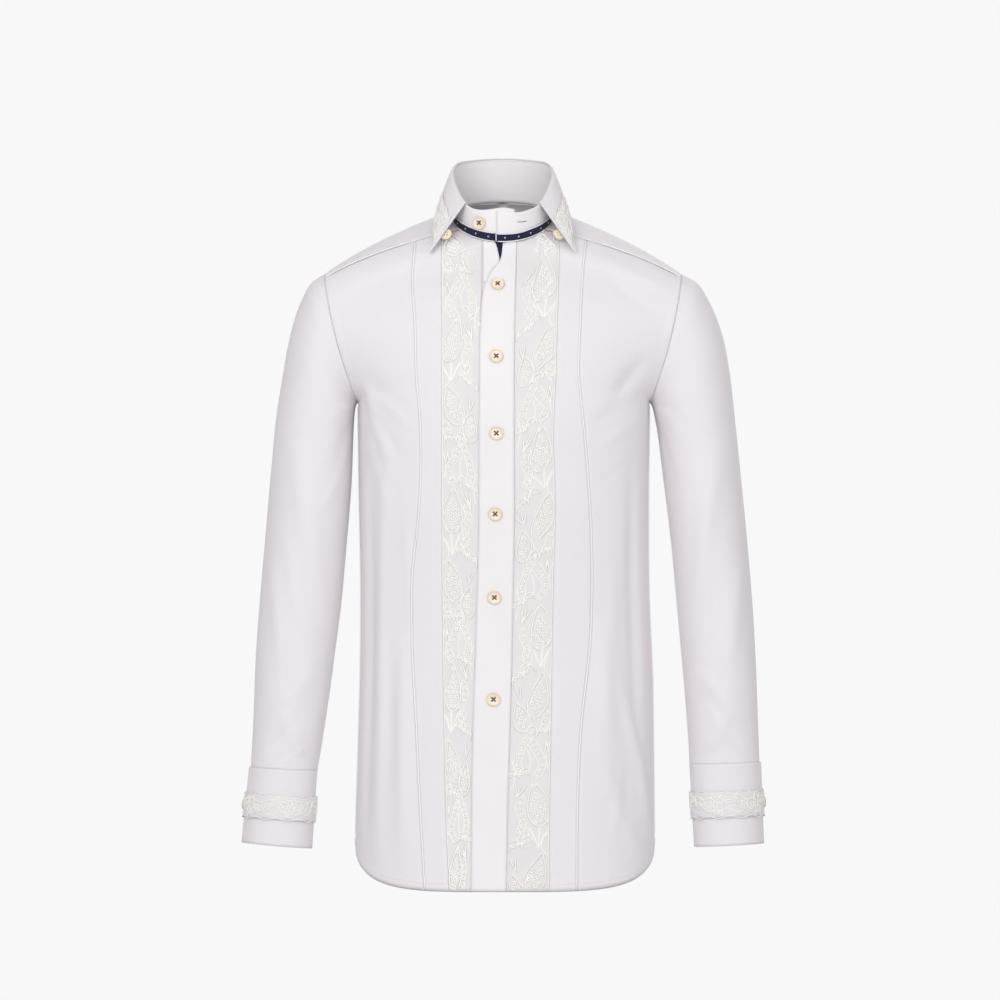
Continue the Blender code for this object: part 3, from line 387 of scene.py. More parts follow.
# Leaf edge: angle from the centre front, x, y, z
LEAF_EDGE = (
    (46, 86, -56, -25),
    (58, 83.5, -42, -8.5),
    (74, 81.5, -15, 8.5),
    (92, 77.5, 14, 20),
    (112, 70, 42, 31),
    (132, 57, 64, 36),
    (152, 37, 82, 37),
    (180, 0, 91, 38),
)
LEAF_START = 46.0
LEAF_RISE = 0.5
LEAF_ROLL = 3.2
LEAF_ROLL_END = 0.14
LEAF_BULGE = 2.5
LEAF_BULGE_ANGLES = (40.0, 80.0)
LEAF_LACE_FROM = 0.40
LEAF_LACE_TO = 0.93
LEAF_LACE_END = 84.0

# Sewing: distances of stitches from edges, in millimetres or as places on their surface
PLACKET_STITCH = 4.0
HEM_STITCH_ROW = 0.010
SIDE_STITCH_ACROSS = 0.975
YOKE_STITCH_ROWS = (0.968, 0.9735)
BACK_YOKE_STITCHES = (0.002, 0.010)
SLEEVE_HEAD_STITCH = 0.006
CUFF_STITCH_SHARES = (0.03, 0.965)
LEAF_STITCH_SHARE = 0.90
STAND_STITCH_SHARE = 0.90
STAND_SLIT = (-331.0, -344.0, 0.62)
TAPE_EDGE = (1.2, 0.8)
TAPE_DOT_TURN = 15.5
TAPE_DOT = 1.1
# Darts beside the placket under the collar: places from end to end, width and height of the ridge
DART_LINES = (
    (((-37.5, -33), (-33, -48), (-27, -65)), (2.2, 1.0)),
    (((48, -15), (37.5, -40), (39.5, -52)), (2.0, 0.9)),
)

# Felled armhole seam and the groove beside the tuck line
FELLED_RISE = 0.6
FELLED_WIDTH = 7.0
TUCK_GROOVE = 0.8
TUCK_GROOVE_PLACE = 1.5
TUCK_GROOVE_WIDTH = 1.6

# Cords and stitches: width and height of the thread
THICK_CORD = (2.5, 1.9)
MIDDLE_CORD = (1.7, 1.2)
FINE_CORD = (1.1, 0.6)
RING_CORD = (1.9, 1.6)
PETAL = (2.9, 1.8)
RING_DIAMETER = 3.7
RING_PITCH = 5.8
RING_STEPS = 10
STITCH = (0.6, 0.32)
STITCH_PITCH = 2.9
STITCH_LENGTH = 2.0
PIPING = (2.6, 1.3)
EDGE_ROLL = (3.4, 1.4)
FOLD_ROLL = (2.4, 1.5)
YOKE_PIPING = (2.2, 1.2)
CORD_STEP = 1.8
# Shares of a full size: a cord's end, the last ring of a column, a vine's bead; gap between its beads
CORD_END = 0.35
COLUMN_END = 0.62
VINE_BEAD = 0.92
VINE_BEAD_GAP = 1.6
# Half-round section of a cord: share of its width sideways, share of its height up
CORD_SECTION = ((-0.5, -0.2), (-0.34, 0.62), (0.0, 1.0), (0.34, 0.62), (0.5, -0.2))

# Motifs in one repeat of the lace: kind, place across from the inner edge and up, length, width, turn
# in degrees
LACE_PERIOD = 196.0
LACE_MOTIFS = (
    ("leaf", 32, 24, 54, 25, 8),
    ("petals", 9, 36, 17, 19, -24),
    ("arch", 12, 55, 27, 10, 6),
    ("arch", 30, 101, 30, 11, -8),
    ("leaf", 33, 143, 50, 24, -16),
    ("petals", 10, 146, 16, 20, 22),
    ("leaf", 11, 126, 38, 18, 12),
    ("arch", 15, 171, 28, 11, 10),
    ("petals", 40, 92, 15, 20, -168),
    ("sprays", 34, 184, 26, 40, 0),
)
# Vines in one repeat: places across and up, from end to end
LACE_VINES = (
    ((13, -6), (17, 8), (12, 22), (16, 34)),
    ((32, 54), (38, 68), (31, 82), (24, 96)),
    ((12, 60), (9, 76), (15, 92), (24, 104)),
    ((46, 100), (40, 110), (43, 122)),
    ((12, 178), (19, 188), (14, 200)),
)
# Single cords in one repeat
LACE_LINES = (
    ((3, 44), (6, 60), (2, 80)),
    ((22, 60), (24, 74), (20, 88)),
    ((44, 60), (42, 76), (46, 92)),
    ((24, 112), (20, 128), (24, 146)),
    ((47, 160), (38, 172), (44, 190)),
)
LACE_MARGIN = 1.0
# Lace strips: step of the edge, shift of the left strip's repeat, drawn width, height up to which it widens
LACE_EDGE_STEP = 2.4
LACE_SHIFT = 0.37
LACE_WIDTH = 46.0
LACE_WIDEST = -110.0
VINE_HALF = 4.3
MOTIF_SEED = 11
MOTIF_SHAKE = (1.5, 2.5, 7.0)

# The plain cloth between lace and placket under the collar: height, inner edge of the lace on the
# wearer's right and left
LACE_TOP_EDGES = (
    (-775, -20.0, 0.0),
    (-110, -20.0, 13.0),
    (-88, -27.0, 17.0),
    (-66, -37.0, 34.0),
    (-40, -38.5, 37.0),
    (-12, -37.0, 40.0),
)

# The lace's own millimetres on cuffs and collar leaves
CUFF_CORD_SCALE = 0.62
COLLAR_CORD_SCALE = 0.6
CUFF_LENGTH = 94.0
CUFF_ROUND = 0.70
CUFF_PERIOD = 52.0
CUFF_MOTIFS = (
    ("leaf", 10, 15, 28, 15, 74),
    ("arch", 34, 13, 22, 10, 4),
    ("petals", 22, 22, 6, 26, 10),
    ("rings", 34, 25, 22, 2.8, 84),
    ("leaf", 50, 18, 20, 12, 40),
)
CUFF_VINES = (((22, 0), (24, 10), (20, 20), (24, 31)),)
# Waves of the cuff lace: share of its height, distance above that, depth, phase, cord
CUFF_WAVE_STEP = 1.6
CUFF_WAVES = (
    (0.0, 0.8, 1.6, 0.0, MIDDLE_CORD),
    (1.0, -0.8, 1.6, 2.0, MIDDLE_CORD),
    (0.30, 0.0, 2.4, 1.0, FINE_CORD),
    (0.52, 0.0, 2.6, 3.0, FINE_CORD),
    (0.76, 0.0, 2.4, 4.4, FINE_CORD),
)
LEAF_LENGTH = 66.0
LEAF_ROUND = 0.66
LEAF_LACE_WIDTH = 23.0
LEAF_LACE_HEIGHT = 34.0
COLLAR_MOTIFS = (
    ("leaf", 8, 10, 22, 12, -16),
    ("arch", 13, 23, 20, 8, -10),
    ("rings", 18, 9, 18, 2.8, 10),
    ("leaf", 6, 31, 14, 9, 20),
)
COLLAR_VINES = (((2, 18), (8, 17), (14, 19), (21, 15)),)

# Buttons
BUTTON_DIAMETER = 16.5
BUTTON_THICKNESS = 2.6
RIM_WIDTH = 1.5
BUTTON_DISH = 0.7
BUTTON_HOLE = 2.3
BUTTON_HOLE_SPACING = 4.0
BUTTON_SEAT = 0.45
BUTTON_THREAD = 1.5
THREAD_BOW = 0.5
THREAD_SINK = 0.5
THREAD_OVER = 0.25
SMALL_BUTTON_SCALE = 0.85
COLLAR_BUTTON_ANGLE = -27.0
COLLAR_BUTTON_SHARE = 0.55
POINT_BUTTON_ANGLE = 46.0
POINT_BUTTON_SHARE = 0.62
POINT_BUTTON_AHEAD = 2.5
POINT_BUTTON_GAP = 0.4

# Colours, as linear red, green and blue
COTTON = (0.84, 0.805, 0.828)
COTTON_SHADE = (0.80, 0.762, 0.792)
BAND = (0.885, 0.872, 0.882)
# The collar leaf's cotton is darker than the body's: painted shade, for a leaf that faces down and out
LEAF_COTTON_PAINTED_SHADE = (0.79, 0.745, 0.76)
# The lace ground is the cloth's own tone made darker with painted shade, as if shaded between the cords
LACE_GROUND_PAINTED_SHADE = (0.80, 0.77, 0.775)
CORD = (0.955, 0.94, 0.915)
CORD_TWIST = (0.92, 0.905, 0.87)
# A cord's foot is painted darker than its crown, as painted shade where it meets the ground: distances from its
# middle line in metres, share of its colour
ROOT_START = 0.0005
ROOT_END = 0.0013
ROOT_SHADE = 0.62
# A thread's twist and a cloth's patches, both in turns a metre, and the depth of a weave in metres
TWIST_SCALE = 300.0
PATCH_SCALE = 9.0
WEAVE_DEPTH = 0.0002
THREAD = (0.90, 0.89, 0.90)
NAVY = (0.014, 0.013, 0.045)
NAVY_WEFT = (0.02, 0.018, 0.055)
DOT = (0.50, 0.49, 0.56)
DOT_TWIST = (0.42, 0.41, 0.50)
# A button's colours: share of its radius, colour
BUTTON_COLOURS = ((0.55, (0.90, 0.80, 0.66)), (0.95, (0.84, 0.68, 0.50)))
STITCH_BROWN = (0.10, 0.055, 0.02)
STITCH_TWIST = (0.25, 0.15, 0.05)
BACKDROP = (0.9387, 0.9387, 0.9387)

# The room and its lights: name, place, what it points at, size in metres and power
FLOOR_HEIGHT = -1.3
ROOM_RADIUS = 16.0
ROOM_BEND = 3.0
ROOM_SIDES = 64
ROOM_LIGHT = 0.56
LIGHTS = (
    ("key", (-1.9, -4.2, 1.1), (0.0, -0.05, -0.42), 1.8, 64.0),
    ("fill", (2.4, -3.8, 0.0), (0.0, -0.05, -0.45), 2.6, 32.0),
    ("front", (0.2, -5.0, 0.5), (0.0, 0.0, -0.3), 1.6, 26.0),
    ("top", (0.0, -1.2, 2.6), (0.0, 0.0, 0.0), 2.4, 7.0),
    ("back", (0.9, 4.2, 1.4), (0.0, 0.05, -0.35), 2.6, 70.0),
)
CAMERA_PLACE = (-0.003, -12.0, -0.3162)
# Width of the picture plane and focal length in millimetres
SENSOR_WIDTH = 36.0
CAMERA_LENS = 364.7

COLLECTION = "dressed_shirt"


def smooth_column(rows, column):
    """A smooth function of a table's first column, through the values of another column."""
    ordered = sorted(rows)
    places = np.array([row[0] for row in ordered], float)
    values = np.array([row[column] for row in ordered], float)
    slopes = np.gradient(values, places)

    def value_at(place):
        place = np.clip(place, places[0], places[-1])
        index = np.clip(np.searchsorted(places, place, side="right") - 1, 0, len(places) - 2)
        step = places[index + 1] - places[index]
        share = (place - places[index]) / step
        square = share**2
        cube = share**3
        return (
            (2 * cube - 3 * square + 1) * values[index]
            + (cube - 2 * square + share) * step * slopes[index]
            + (3 * square - 2 * cube) * values[index + 1]
            + (cube - square) * step * slopes[index + 1]
        )

    return value_at


def smooth_columns(rows):
    """One smooth function for each column after a table's first."""
    return [smooth_column(rows, column) for column in range(1, len(rows[0]))]


def soft_step(low, high, value):
    """0 below low, 1 above high and a smooth rise between."""
    share = np.clip((value - low) / (high - low), 0.0, 1.0)
    return share * share * (3 - 2 * share)


WIDTH_RIGHT, WIDTH_LEFT, FRONT_DEPTH, BACK_DEPTH = smooth_columns(BODY_SECTIONS)
(
    PLACKET_FREE,
    PLACKET_SEWN,
    LACE_EDGE_RIGHT,
    LACE_EDGE_LEFT,
    TUCK_RIGHT,
    TUCK_LEFT,
    BAND_FREE,
    BAND_TAPE_EDGE,
) = smooth_columns(FRONT_EDGES)
SLEEVE_ENDS = {-1: smooth_columns(SLEEVE_RIGHT), 1: smooth_columns(SLEEVE_LEFT)}
SLEEVE_HALF_DEPTH, SLEEVE_MIDDLE_Y = smooth_columns(SLEEVE_DEPTHS)
STAND_HEIGHT, STAND_LEAN = smooth_columns(STAND_HEIGHTS)
LEAF_X, LEAF_Y, LEAF_Z = smooth_columns(LEAF_EDGE)
LACE_TOP_RIGHT, LACE_TOP_LEFT = smooth_columns(LACE_TOP_EDGES)


def points_of(x, y, z):
    """An array of points from arrays or numbers for their coordinates."""
    return np.stack(np.broadcast_arrays(x, y, z), axis=-1).astype(float)


def path_of(first, second):
    """A path of places from arrays or numbers for their two coordinates."""
    return np.stack(np.broadcast_arrays(first, second), axis=-1).astype(float)


def around_from_front(angle):
    """How many degrees a place on the collar lies from the centre front."""
    return np.abs((angle + 180) % 360 - 180)


def unit(vectors):
    """The same directions with a length of 1."""
    return vectors / np.maximum(np.linalg.norm(vectors, axis=-1, keepdims=True), 1e-9)


def neck_ring(angle):
    """The neck seam; the angle in degrees is 0 at the centre front, positive to the wearer's left."""
    turn = np.radians(angle)
    cosine = np.cos(turn)
    depth = np.where(cosine > 0, NECK_FRONT_DEPTH, NECK_BACK_DEPTH)
    slope = (NECK_BACK - NECK_FRONT) / 2
    bow = (NECK_BACK + NECK_FRONT) / 2 - NECK_SIDE
    return points_of(
        NECK_HALF_WIDTH * np.sin(turn),
        NECK_CENTRE_Y - depth * cosine,
        NECK_SIDE - slope * cosine + bow * cosine * cosine,
    )


def armhole_ring(side, face, angle):
    """The armhole seam; the angle is 0 at the armpit and 180 at the shoulder tip."""
    turn = np.radians(angle)
    height = ARMHOLE_CENTRE_Z - ARMHOLE_HALF_HEIGHT * np.cos(turn)
    share = (1 - np.cos(turn)) / 2
    out = ARMPIT_X[side] + (SHOULDER_TIP_X[side] - ARMPIT_X[side]) * share
    out = out + ARMHOLE_BULGE * np.sin(turn) ** 2
    return points_of(side * out, face * ARMHOLE_HALF_DEPTH * np.sin(turn), height)


def row_ends(side, face, row):
    """The inner and outer ends of a row, and the sweep and the slant of the curve between them."""
    row = np.asarray(row, float)
    row_neck = ROW_NECK_FRONT if face < 0 else ROW_NECK_BACK
    hem = HEM_FRONT if face < 0 else HEM_BACK
    neck = NECK_FRONT if face < 0 else NECK_BACK
    height = hem + (neck - hem) * np.minimum(row / row_neck, 1.0)
    depth = FRONT_DEPTH(height) if face < 0 else BACK_DEPTH(height)
    ring_angle = 90 * np.clip((row - row_neck) / (1 - row_neck), 0.0, 1.0)
    ring = neck_ring(ring_angle if face < 0 else 180 - ring_angle) * (side, 1, 1)
    inner = np.where((row <= row_neck)[..., None], points_of(0.0, depth, height), ring)
    height = HEM_SIDE + (ARMPIT - HEM_SIDE) * np.minimum(row / ROW_ARMPIT, 1.0)
    width = WIDTH_RIGHT(height) if side < 0 else WIDTH_LEFT(height)
    hole_angle = 180 * np.clip((row - ROW_ARMPIT) / (1 - ROW_ARMPIT), 0.0, 1.0)
    ring = armhole_ring(side, face, hole_angle)
    outer = np.where((row <= ROW_ARMPIT)[..., None], points_of(side * width, 0.0, height), ring)
    sweep = 90.0 - (90.0 - SHOULDER_SWEEP) * np.sin(np.radians(hole_angle / 2))
    slant = HEM_CURVE + (1 - HEM_CURVE) * np.minimum(row / ROW_ARMPIT, 1.0)
    return inner, outer, np.radians(sweep), slant


def body_surface(side, face, across, row):
    """Points of the body's plain outer surface: across is 0 at the centre and 1 at the side."""
    inner, outer, sweep, slant = row_ends(side, face, row)
    turn = across * sweep
    power = 2 / SECTION_POWER
    sideways = np.maximum(np.sin(turn) / np.sin(sweep), 0.0) ** power
    last = np.maximum(np.cos(sweep), 0.0) ** power
    forward = (np.maximum(np.cos(turn), 0.0) ** power - last) / (1 - last)
    return points_of(
        inner[..., 0] + (outer[..., 0] - inner[..., 0]) * sideways,
        outer[..., 1] + (inner[..., 1] - outer[..., 1]) * forward,
        inner[..., 2] + (outer[..., 2] - inner[..., 2]) * across**slant,
    )


def across_at(side, face, row, x):
    """The place across a row at which the surface has a given distance from the centre plane."""
    inner, outer, sweep, _ = row_ends(side, face, row)
    start = np.abs(inner[..., 0])
    share = np.clip((np.abs(x) - start) / (np.abs(outer[..., 0]) - start), 0.0, 1.0)
    return np.arcsin(np.sin(sweep) * share ** (SECTION_POWER / 2)) / sweep


def body_normal(side, face, across, row):
    """The outward direction of the plain surface."""
    low_across, high_across = np.maximum(across - BODY_STEP, 0.0), np.minimum(across + BODY_STEP, 1.0)
    low_row, high_row = np.maximum(row - BODY_STEP, 0.0), np.minimum(row + BODY_STEP, 1.0)
    along = body_surface(side, face, high_across, row) - body_surface(side, face, low_across, row)
    upward = body_surface(side, face, across, high_row) - body_surface(side, face, across, low_row)
    return unit(np.cross(along, upward) * side * -face)


def crease_lift(table, first, second):
    """How far a table's creases lift the cloth at places given by two lengths in millimetres."""
    lift = np.zeros(np.shape(first))
    for from_first, from_second, to_first, to_second, width, height, bow in table:
        run = np.array([to_first - from_first, to_second - from_second], float)
        length = np.hypot(*run)
        ahead = run / length
        share = ((first - from_first) * ahead[0] + (second - from_second) * ahead[1]) / length
        inside = np.clip(share, 0.0, 1.0)
        distance = (first - from_first) * -ahead[1] + (second - from_second) * ahead[0]
        distance = (distance - bow * np.sin(math.pi * inside)) / width
        profile = np.exp(-distance**2) - HOLLOW_SHARE * np.exp(-((distance - HOLLOW_PLACE) ** 2))
        lift += height * profile * np.sin(math.pi * inside) ** FOLD_FADE
    return lift


def body_fold(side, face, across, row):
    """How far the soft folds lift the cloth."""
    lift = np.zeros(np.shape(across))
    for fold_face, fold_side, top, foot, row_top, row_foot, width, height in BODY_FOLDS:
        if fold_face != face or fold_side != side:
            continue
        share = np.clip((row - row_foot) / (row_top - row_foot), 0.0, 1.0)
        distance = (across - foot - (top - foot) * share) / width
        lift += height * np.exp(-distance * distance) * np.sin(math.pi * share) ** FOLD_FADE
    return lift * (1 - soft_step(*FOLD_SIDE_FADE, across)) * soft_step(*FOLD_CENTRE_FADE, across)


def body_points(side, face, across, row, out=0.0):
    """Points of the folded cloth, moved out by a layer's height."""
    across, row = np.broadcast_arrays(np.asarray(across, float), np.asarray(row, float))
    plain = body_surface(side, face, across, row)
    creases = crease_lift(FRONT_CREASES if face < 0 else BACK_CREASES, plain[..., 0], plain[..., 2])
    creases = creases * (1 - soft_step(*CREASE_SIDE_FADE, across)) * (1 - soft_step(*CREASE_TOP_FADE, row))
    lift = body_fold(side, face, across, row) + creases + out
    return plain + body_normal(side, face, across, row) * lift[..., None]


def front_top_row(x):
    """The row at which the front ends: the neck seam near the centre, the yoke seam further out."""
    angle = np.degrees(np.arcsin(np.clip(np.abs(x) / NECK_HALF_WIDTH, 0.0, 1.0)))
    return np.minimum(ROW_YOKE_FRONT, ROW_NECK_FRONT + (1 - ROW_NECK_FRONT) * angle / 90)


def front_height(rise):
    """The height of a place on the centre front, from its rise: 0 at the hem, 1 at the neck."""
    return HEM_FRONT + (NECK_FRONT - HEM_FRONT) * rise


def front_rise(height):
    """The rise of a height on the centre front."""
    return (height - HEM_FRONT) / (NECK_FRONT - HEM_FRONT)


def front_points(x, rise, out=0.0):
    """Points of the front at distances x from the centre plane, moved out by a layer's height."""
    x, rise = np.broadcast_arrays(np.asarray(x, float), np.asarray(rise, float))
    row = front_top_row(x) * rise
    halves = [body_points(side, -1, across_at(side, -1, row, x), row, out) for side in (-1, 1)]
    return np.where((x < 0)[..., None], halves[0], halves[1])


def sleeve_surface(side, share, angle):
    """Points of a sleeve's plain outer surface; the angle is 0 at the armpit side, 90 in front."""
    outer_x, outer_z, inner_x, inner_z = [column(share) for column in SLEEVE_ENDS[side]]
    turn = np.radians(angle)
    cosine, sine = np.cos(turn), np.sin(turn)
    away = ARMHOLE_GAP * (1 - soft_step(0.0, GAP_FADE, share))
    x = (outer_x + inner_x) / 2 + (inner_x - outer_x) / 2 * cosine
    x = x + ARMHOLE_BULGE * sine**2 * (1 - soft_step(0.0, HEAD_SHARE, share)) + away * ARMHOLE_AWAY[0]
    y = SLEEVE_MIDDLE_Y(share) - SLEEVE_HALF_DEPTH(share) * sine
    z = (outer_z + inner_z) / 2 + (inner_z - outer_z) / 2 * cosine + away * ARMHOLE_AWAY[2]
    return points_of(side * x, y, z)


def sleeve_points(side, share, angle, out=0.0):
    """Points of the folded sleeve, moved out by a layer's height."""
    share, angle = np.broadcast_arrays(np.asarray(share, float), np.asarray(angle, float))
    down, turn = SLEEVE_STEP
    low, high = np.maximum(share - down, 0.0), np.minimum(share + down, 1.0)
    round_step = sleeve_surface(side, share, angle + turn) - sleeve_surface(side, share, angle - turn)
    down_step = sleeve_surface(side, high, angle) - sleeve_surface(side, low, angle)
    normal = unit(np.cross(round_step, down_step) * -side)
    lift = np.zeros(share.shape) + out
    turned = angle % 360
    for top, foot, share_top, share_foot, width, height in SLEEVE_FOLDS:
        along = np.clip((share - share_top) / (share_foot - share_top), 0.0, 1.0)
        distance = (turned - (top + (foot - top) * along)) / width
        lift += height * np.exp(-distance * distance) * np.sin(math.pi * along)
    creases = np.array(SLEEVE_CREASES[side])
    creases[:, (0, 2)] *= SLEEVE_LENGTH
    creases[:, (1, 3)] *= SLEEVE_ROUND
    lift += crease_lift(creases, share * SLEEVE_LENGTH, turned * SLEEVE_ROUND)
    return sleeve_surface(side, share, angle) + normal * lift[..., None]


def cuff_points(side, share, angle, out=0.0):
    """Points of the cuff; angles past a full turn lie on the end that overlaps."""
    outer_x, outer_z, inner_x, inner_z = [column(1.0) for column in SLEEVE_ENDS[side]]
    foot = CUFF_FOOT[side]
    share, angle = np.broadcast_arrays(np.asarray(share, float), np.asarray(angle, float))
    turn = np.radians(angle)
    ends = []
    for (top_x, top_z), (foot_x, foot_z) in (((outer_x, outer_z), foot[:2]), ((inner_x, inner_z), foot[2:])):
        ends.append(points_of(top_x + (foot_x - top_x) * share, 0.0, top_z + (foot_z - top_z) * share))
    outer, inner = ends
    over = soft_step(CUFF_UNDER_END + 360 - CUFF_RAMP, CUFF_UNDER_END + 360, angle) * OVERLAP_STEP
    reach = (inner - outer) / 2
    half_width = np.linalg.norm(reach, axis=-1)
    swing = (half_width + over + out) * np.cos(turn) / half_width
    points = (outer + inner) / 2 + reach * swing[..., None]
    depth = SLEEVE_HALF_DEPTH(1.0) * (1 - share) + CUFF_HALF_DEPTH * share
    middle_y = SLEEVE_MIDDLE_Y(1.0) * (1 - share) + CUFF_MIDDLE_Y * share
    points[..., 1] = middle_y - (depth + over + out) * np.sin(turn)
    points[..., 0] *= side
    return points


def stand_points(angle, share, out=0.0):
    """Points of the collar stand; the angle runs from the under end round the back to the over end."""
    angle, share = np.broadcast_arrays(np.asarray(angle, float), np.asarray(share, float))
    from_front = around_from_front(angle)
    over = np.where(angle < -270, soft_step(-STAND_RAMP, 0, STAND_UNDER_END - angle - 360), 0.0)
    radial = points_of(np.sin(np.radians(angle)), -np.cos(np.radians(angle)), 0.0)
    away = STAND_LEAN(from_front) * share + over * OVERLAP_STEP + out
    points = neck_ring(angle) + radial * away[..., None]
    points[..., 2] += STAND_GAP + (STAND_HEIGHT(from_front) - STAND_OVER_DROP * over) * share
    return points


def leaf_points(angle, share, out=0.0):
    """Points of the collar leaf: share 0 on top of the stand, 1 at the leaf's edge."""
    angle, share = np.broadcast_arrays(np.asarray(angle, float), np.asarray(share, float))
    signed = (angle + 180) % 360 - 180
    side = np.where(signed < 0, -1.0, 1.0)
    from_front = np.abs(signed)
    fold = stand_points(side * from_front, 1.0, -BAND_SHELL / 2)
    fold[..., 2] += LEAF_RISE
    radial = points_of(np.sin(np.radians(angle)), -np.cos(np.radians(angle)), 0.0)
    turn = np.clip(share / LEAF_ROLL_END, 0.0, 1.0) * math.pi / 2
    away = LEAF_ROLL * (1 - np.cos(turn)) + out * np.sin(turn)
    rolled = fold + radial * away[..., None]
    rolled[..., 2] += LEAF_ROLL / 2 * np.sin(turn * 2) + out * np.cos(turn)
    edge = points_of(side * LEAF_X(from_front), LEAF_Y(from_front), LEAF_Z(from_front))
    along = np.clip((share - LEAF_ROLL_END) / (1 - LEAF_ROLL_END), 0.0, 1.0)[..., None]
    bulge = LEAF_BULGE * soft_step(*LEAF_BULGE_ANGLES, from_front)[..., None]
    lying = (fold + radial * LEAF_ROLL) * (1 - along) + edge * along
    lying = lying + radial * (bulge * np.sin(math.pi * along) + out)
    return np.where((share < LEAF_ROLL_END)[..., None], rolled, lying)


class Finish:
    """A material around one shader; an input takes a number, a colour or another node's output."""

    def __init__(self, name):
        self.material = bpy.data.materials.new(name)
        self.material.use_nodes = True
        self.tree = self.material.node_tree
        self.place = self.node("UVMap", "UV", {}, uv_map="cloth")

    def fill(self, node, inputs):
        """Sets or joins a node's inputs, given by name or number."""
        for socket, value in inputs.items():
            if isinstance(value, bpy.types.NodeSocket):
                self.tree.links.new(value, node.inputs[socket])
            elif isinstance(value, tuple):
                node.inputs[socket].default_value = (*value, 1.0)
            else:
                node.inputs[socket].default_value = value

    def node(self, kind, output, inputs, **settings):
        """Adds a node and gives back one of its outputs."""
        node = self.tree.nodes.new(f"ShaderNode{kind}")
        for setting, value in settings.items():
            setattr(node, setting, value)
        self.fill(node, inputs)
        return node.outputs[output]

    def mix(self, share, first, second, **settings):
        """A colour between two others."""
        inputs = {"Factor": share, "A": first, "B": second}
        return self.node("Mix", "Result", inputs, data_type="RGBA", **settings)

    def shade(self, inputs):
        """Fills the shader's inputs and gives back the material."""
        self.fill(self.tree.nodes["Principled BSDF"], inputs)
        return self.material


def fabric(name, colour, other, weave, relief, roughness, sheen):
    """A cloth finish: a fine weave along the cloth's own map, soft patches of shade and a sheen."""
    finish = Finish(name)
    patches = finish.node("TexNoise", "Fac", {"Vector": finish.place, "Scale": PATCH_SCALE, "Detail": 3.0})
    threads = {"Vector": finish.place, "Scale": weave, "Distortion": 0.6, "Detail Scale": 2.0}
    warp, weft = (finish.node("TexWave", "Fac", threads, bands_direction=axis) for axis in ("X", "Y"))
    crossing = finish.node("Math", "Value", {0: warp, 1: weft}, operation="MAXIMUM")
    bump = {"Strength": relief, "Distance": WEAVE_DEPTH, "Height": crossing}
    return finish.shade({
        "Base Color": finish.mix(patches, colour, other),
        "Normal": finish.node("Bump", "Normal", bump),
        "Roughness": roughness,
        "Sheen Weight": sheen,
        "Sheen Roughness": 0.5,
        "Specular IOR Level": 0.2,
    })


def thread(name, colour, other):
    """A twisted thread's finish: fine slanted bands of two near colours, with painted shade darkening a thick
    cord's foot.
    """
    finish = Finish(name)
    spot = finish.node("TexCoord", "Object", {})
    twist = {"Vector": spot, "Scale": TWIST_SCALE, "Distortion": 1.5}
    bands = finish.node("TexWave", "Fac", twist, bands_direction="DIAGONAL")
    sideways = finish.node("SeparateXYZ", "Y", {"Vector": finish.place})
    aside = finish.node("Math", "Value", {0: sideways}, operation="ABSOLUTE")
    # Painted shade: the cord's colour turns darker towards the edges of its section, at its foot
    foot = finish.node("MapRange", "Result", {"Value": aside, "From Min": ROOT_START, "From Max": ROOT_END})
    painted_root_shade = tuple(channel * ROOT_SHADE for channel in colour)
    return finish.shade({
        "Base Color": finish.mix(foot, finish.mix(bands, colour, other), painted_root_shade),
        "Roughness": 0.7,
        "Sheen Weight": 0.15,
        "Specular IOR Level": 0.3,
    })


def button_finish():
    """A pearly button: cream in the middle and warmer towards the rim, with faint clouds."""
    finish = Finish("button_pearl")
    outward = finish.node("SeparateXYZ", "X", {"Vector": finish.place})
    ramp = finish.node("ValToRGB", "Color", {"Fac": outward})
    for element, (reach, colour) in zip(ramp.node.color_ramp.elements, BUTTON_COLOURS):
        element.position = reach
        element.color = (*colour, 1.0)
    clouds = finish.node("TexNoise", "Fac", {"Vector": finish.place, "Scale": 3.0})
    pearl = finish.mix(0.25, ramp, clouds, blend_type="SOFT_LIGHT")
    return finish.shade({"Base Color": pearl, "Roughness": 0.28, "Coat Weight": 0.3})


# Finishes; a fabric's row is its colours, threads a metre, relief, roughness and sheen
MATERIALS = {
    "cotton": fabric("white_cotton", COTTON, COTTON_SHADE, 900.0, 0.25, 0.85, 0.2),
    "band": fabric("white_band_cotton", BAND, COTTON, 900.0, 0.2, 0.8, 0.15),
    # The leaf's finish is the cotton darkened with painted shade
    "leaf": fabric("leaf_cotton_painted_shade", LEAF_COTTON_PAINTED_SHADE, COTTON_SHADE, 900.0, 0.25, 0.85, 0.2),
    # The net's colour carries painted shade, darker than the cotton
    "lace": fabric("lace_net_painted_shade", LACE_GROUND_PAINTED_SHADE, COTTON_SHADE, 320.0, 0.5, 0.85, 0.1),
    "cord": thread("cream_cord", CORD, CORD_TWIST),
    "white_thread": thread("white_thread", THREAD, BAND),
    "tape": fabric("navy_tape", NAVY, NAVY_WEFT, 500.0, 0.5, 0.75, 0.1),
    "button": button_finish(),
    "dot_thread": thread("pale_dots", DOT, DOT_TWIST),
    "brown_thread": thread("brown_thread", STITCH_BROWN, STITCH_TWIST),
}


def arc_lengths(grid, axis):
    """How far each point of a grid lies along its row (axis 1) or its column (axis 0)."""
    steps = np.linalg.norm(np.diff(grid, axis=axis), axis=-1)
    start = np.zeros_like(steps[:, :1] if axis == 1 else steps[:1])
    return np.cumsum(np.concatenate([start, steps], axis=axis), axis=axis)


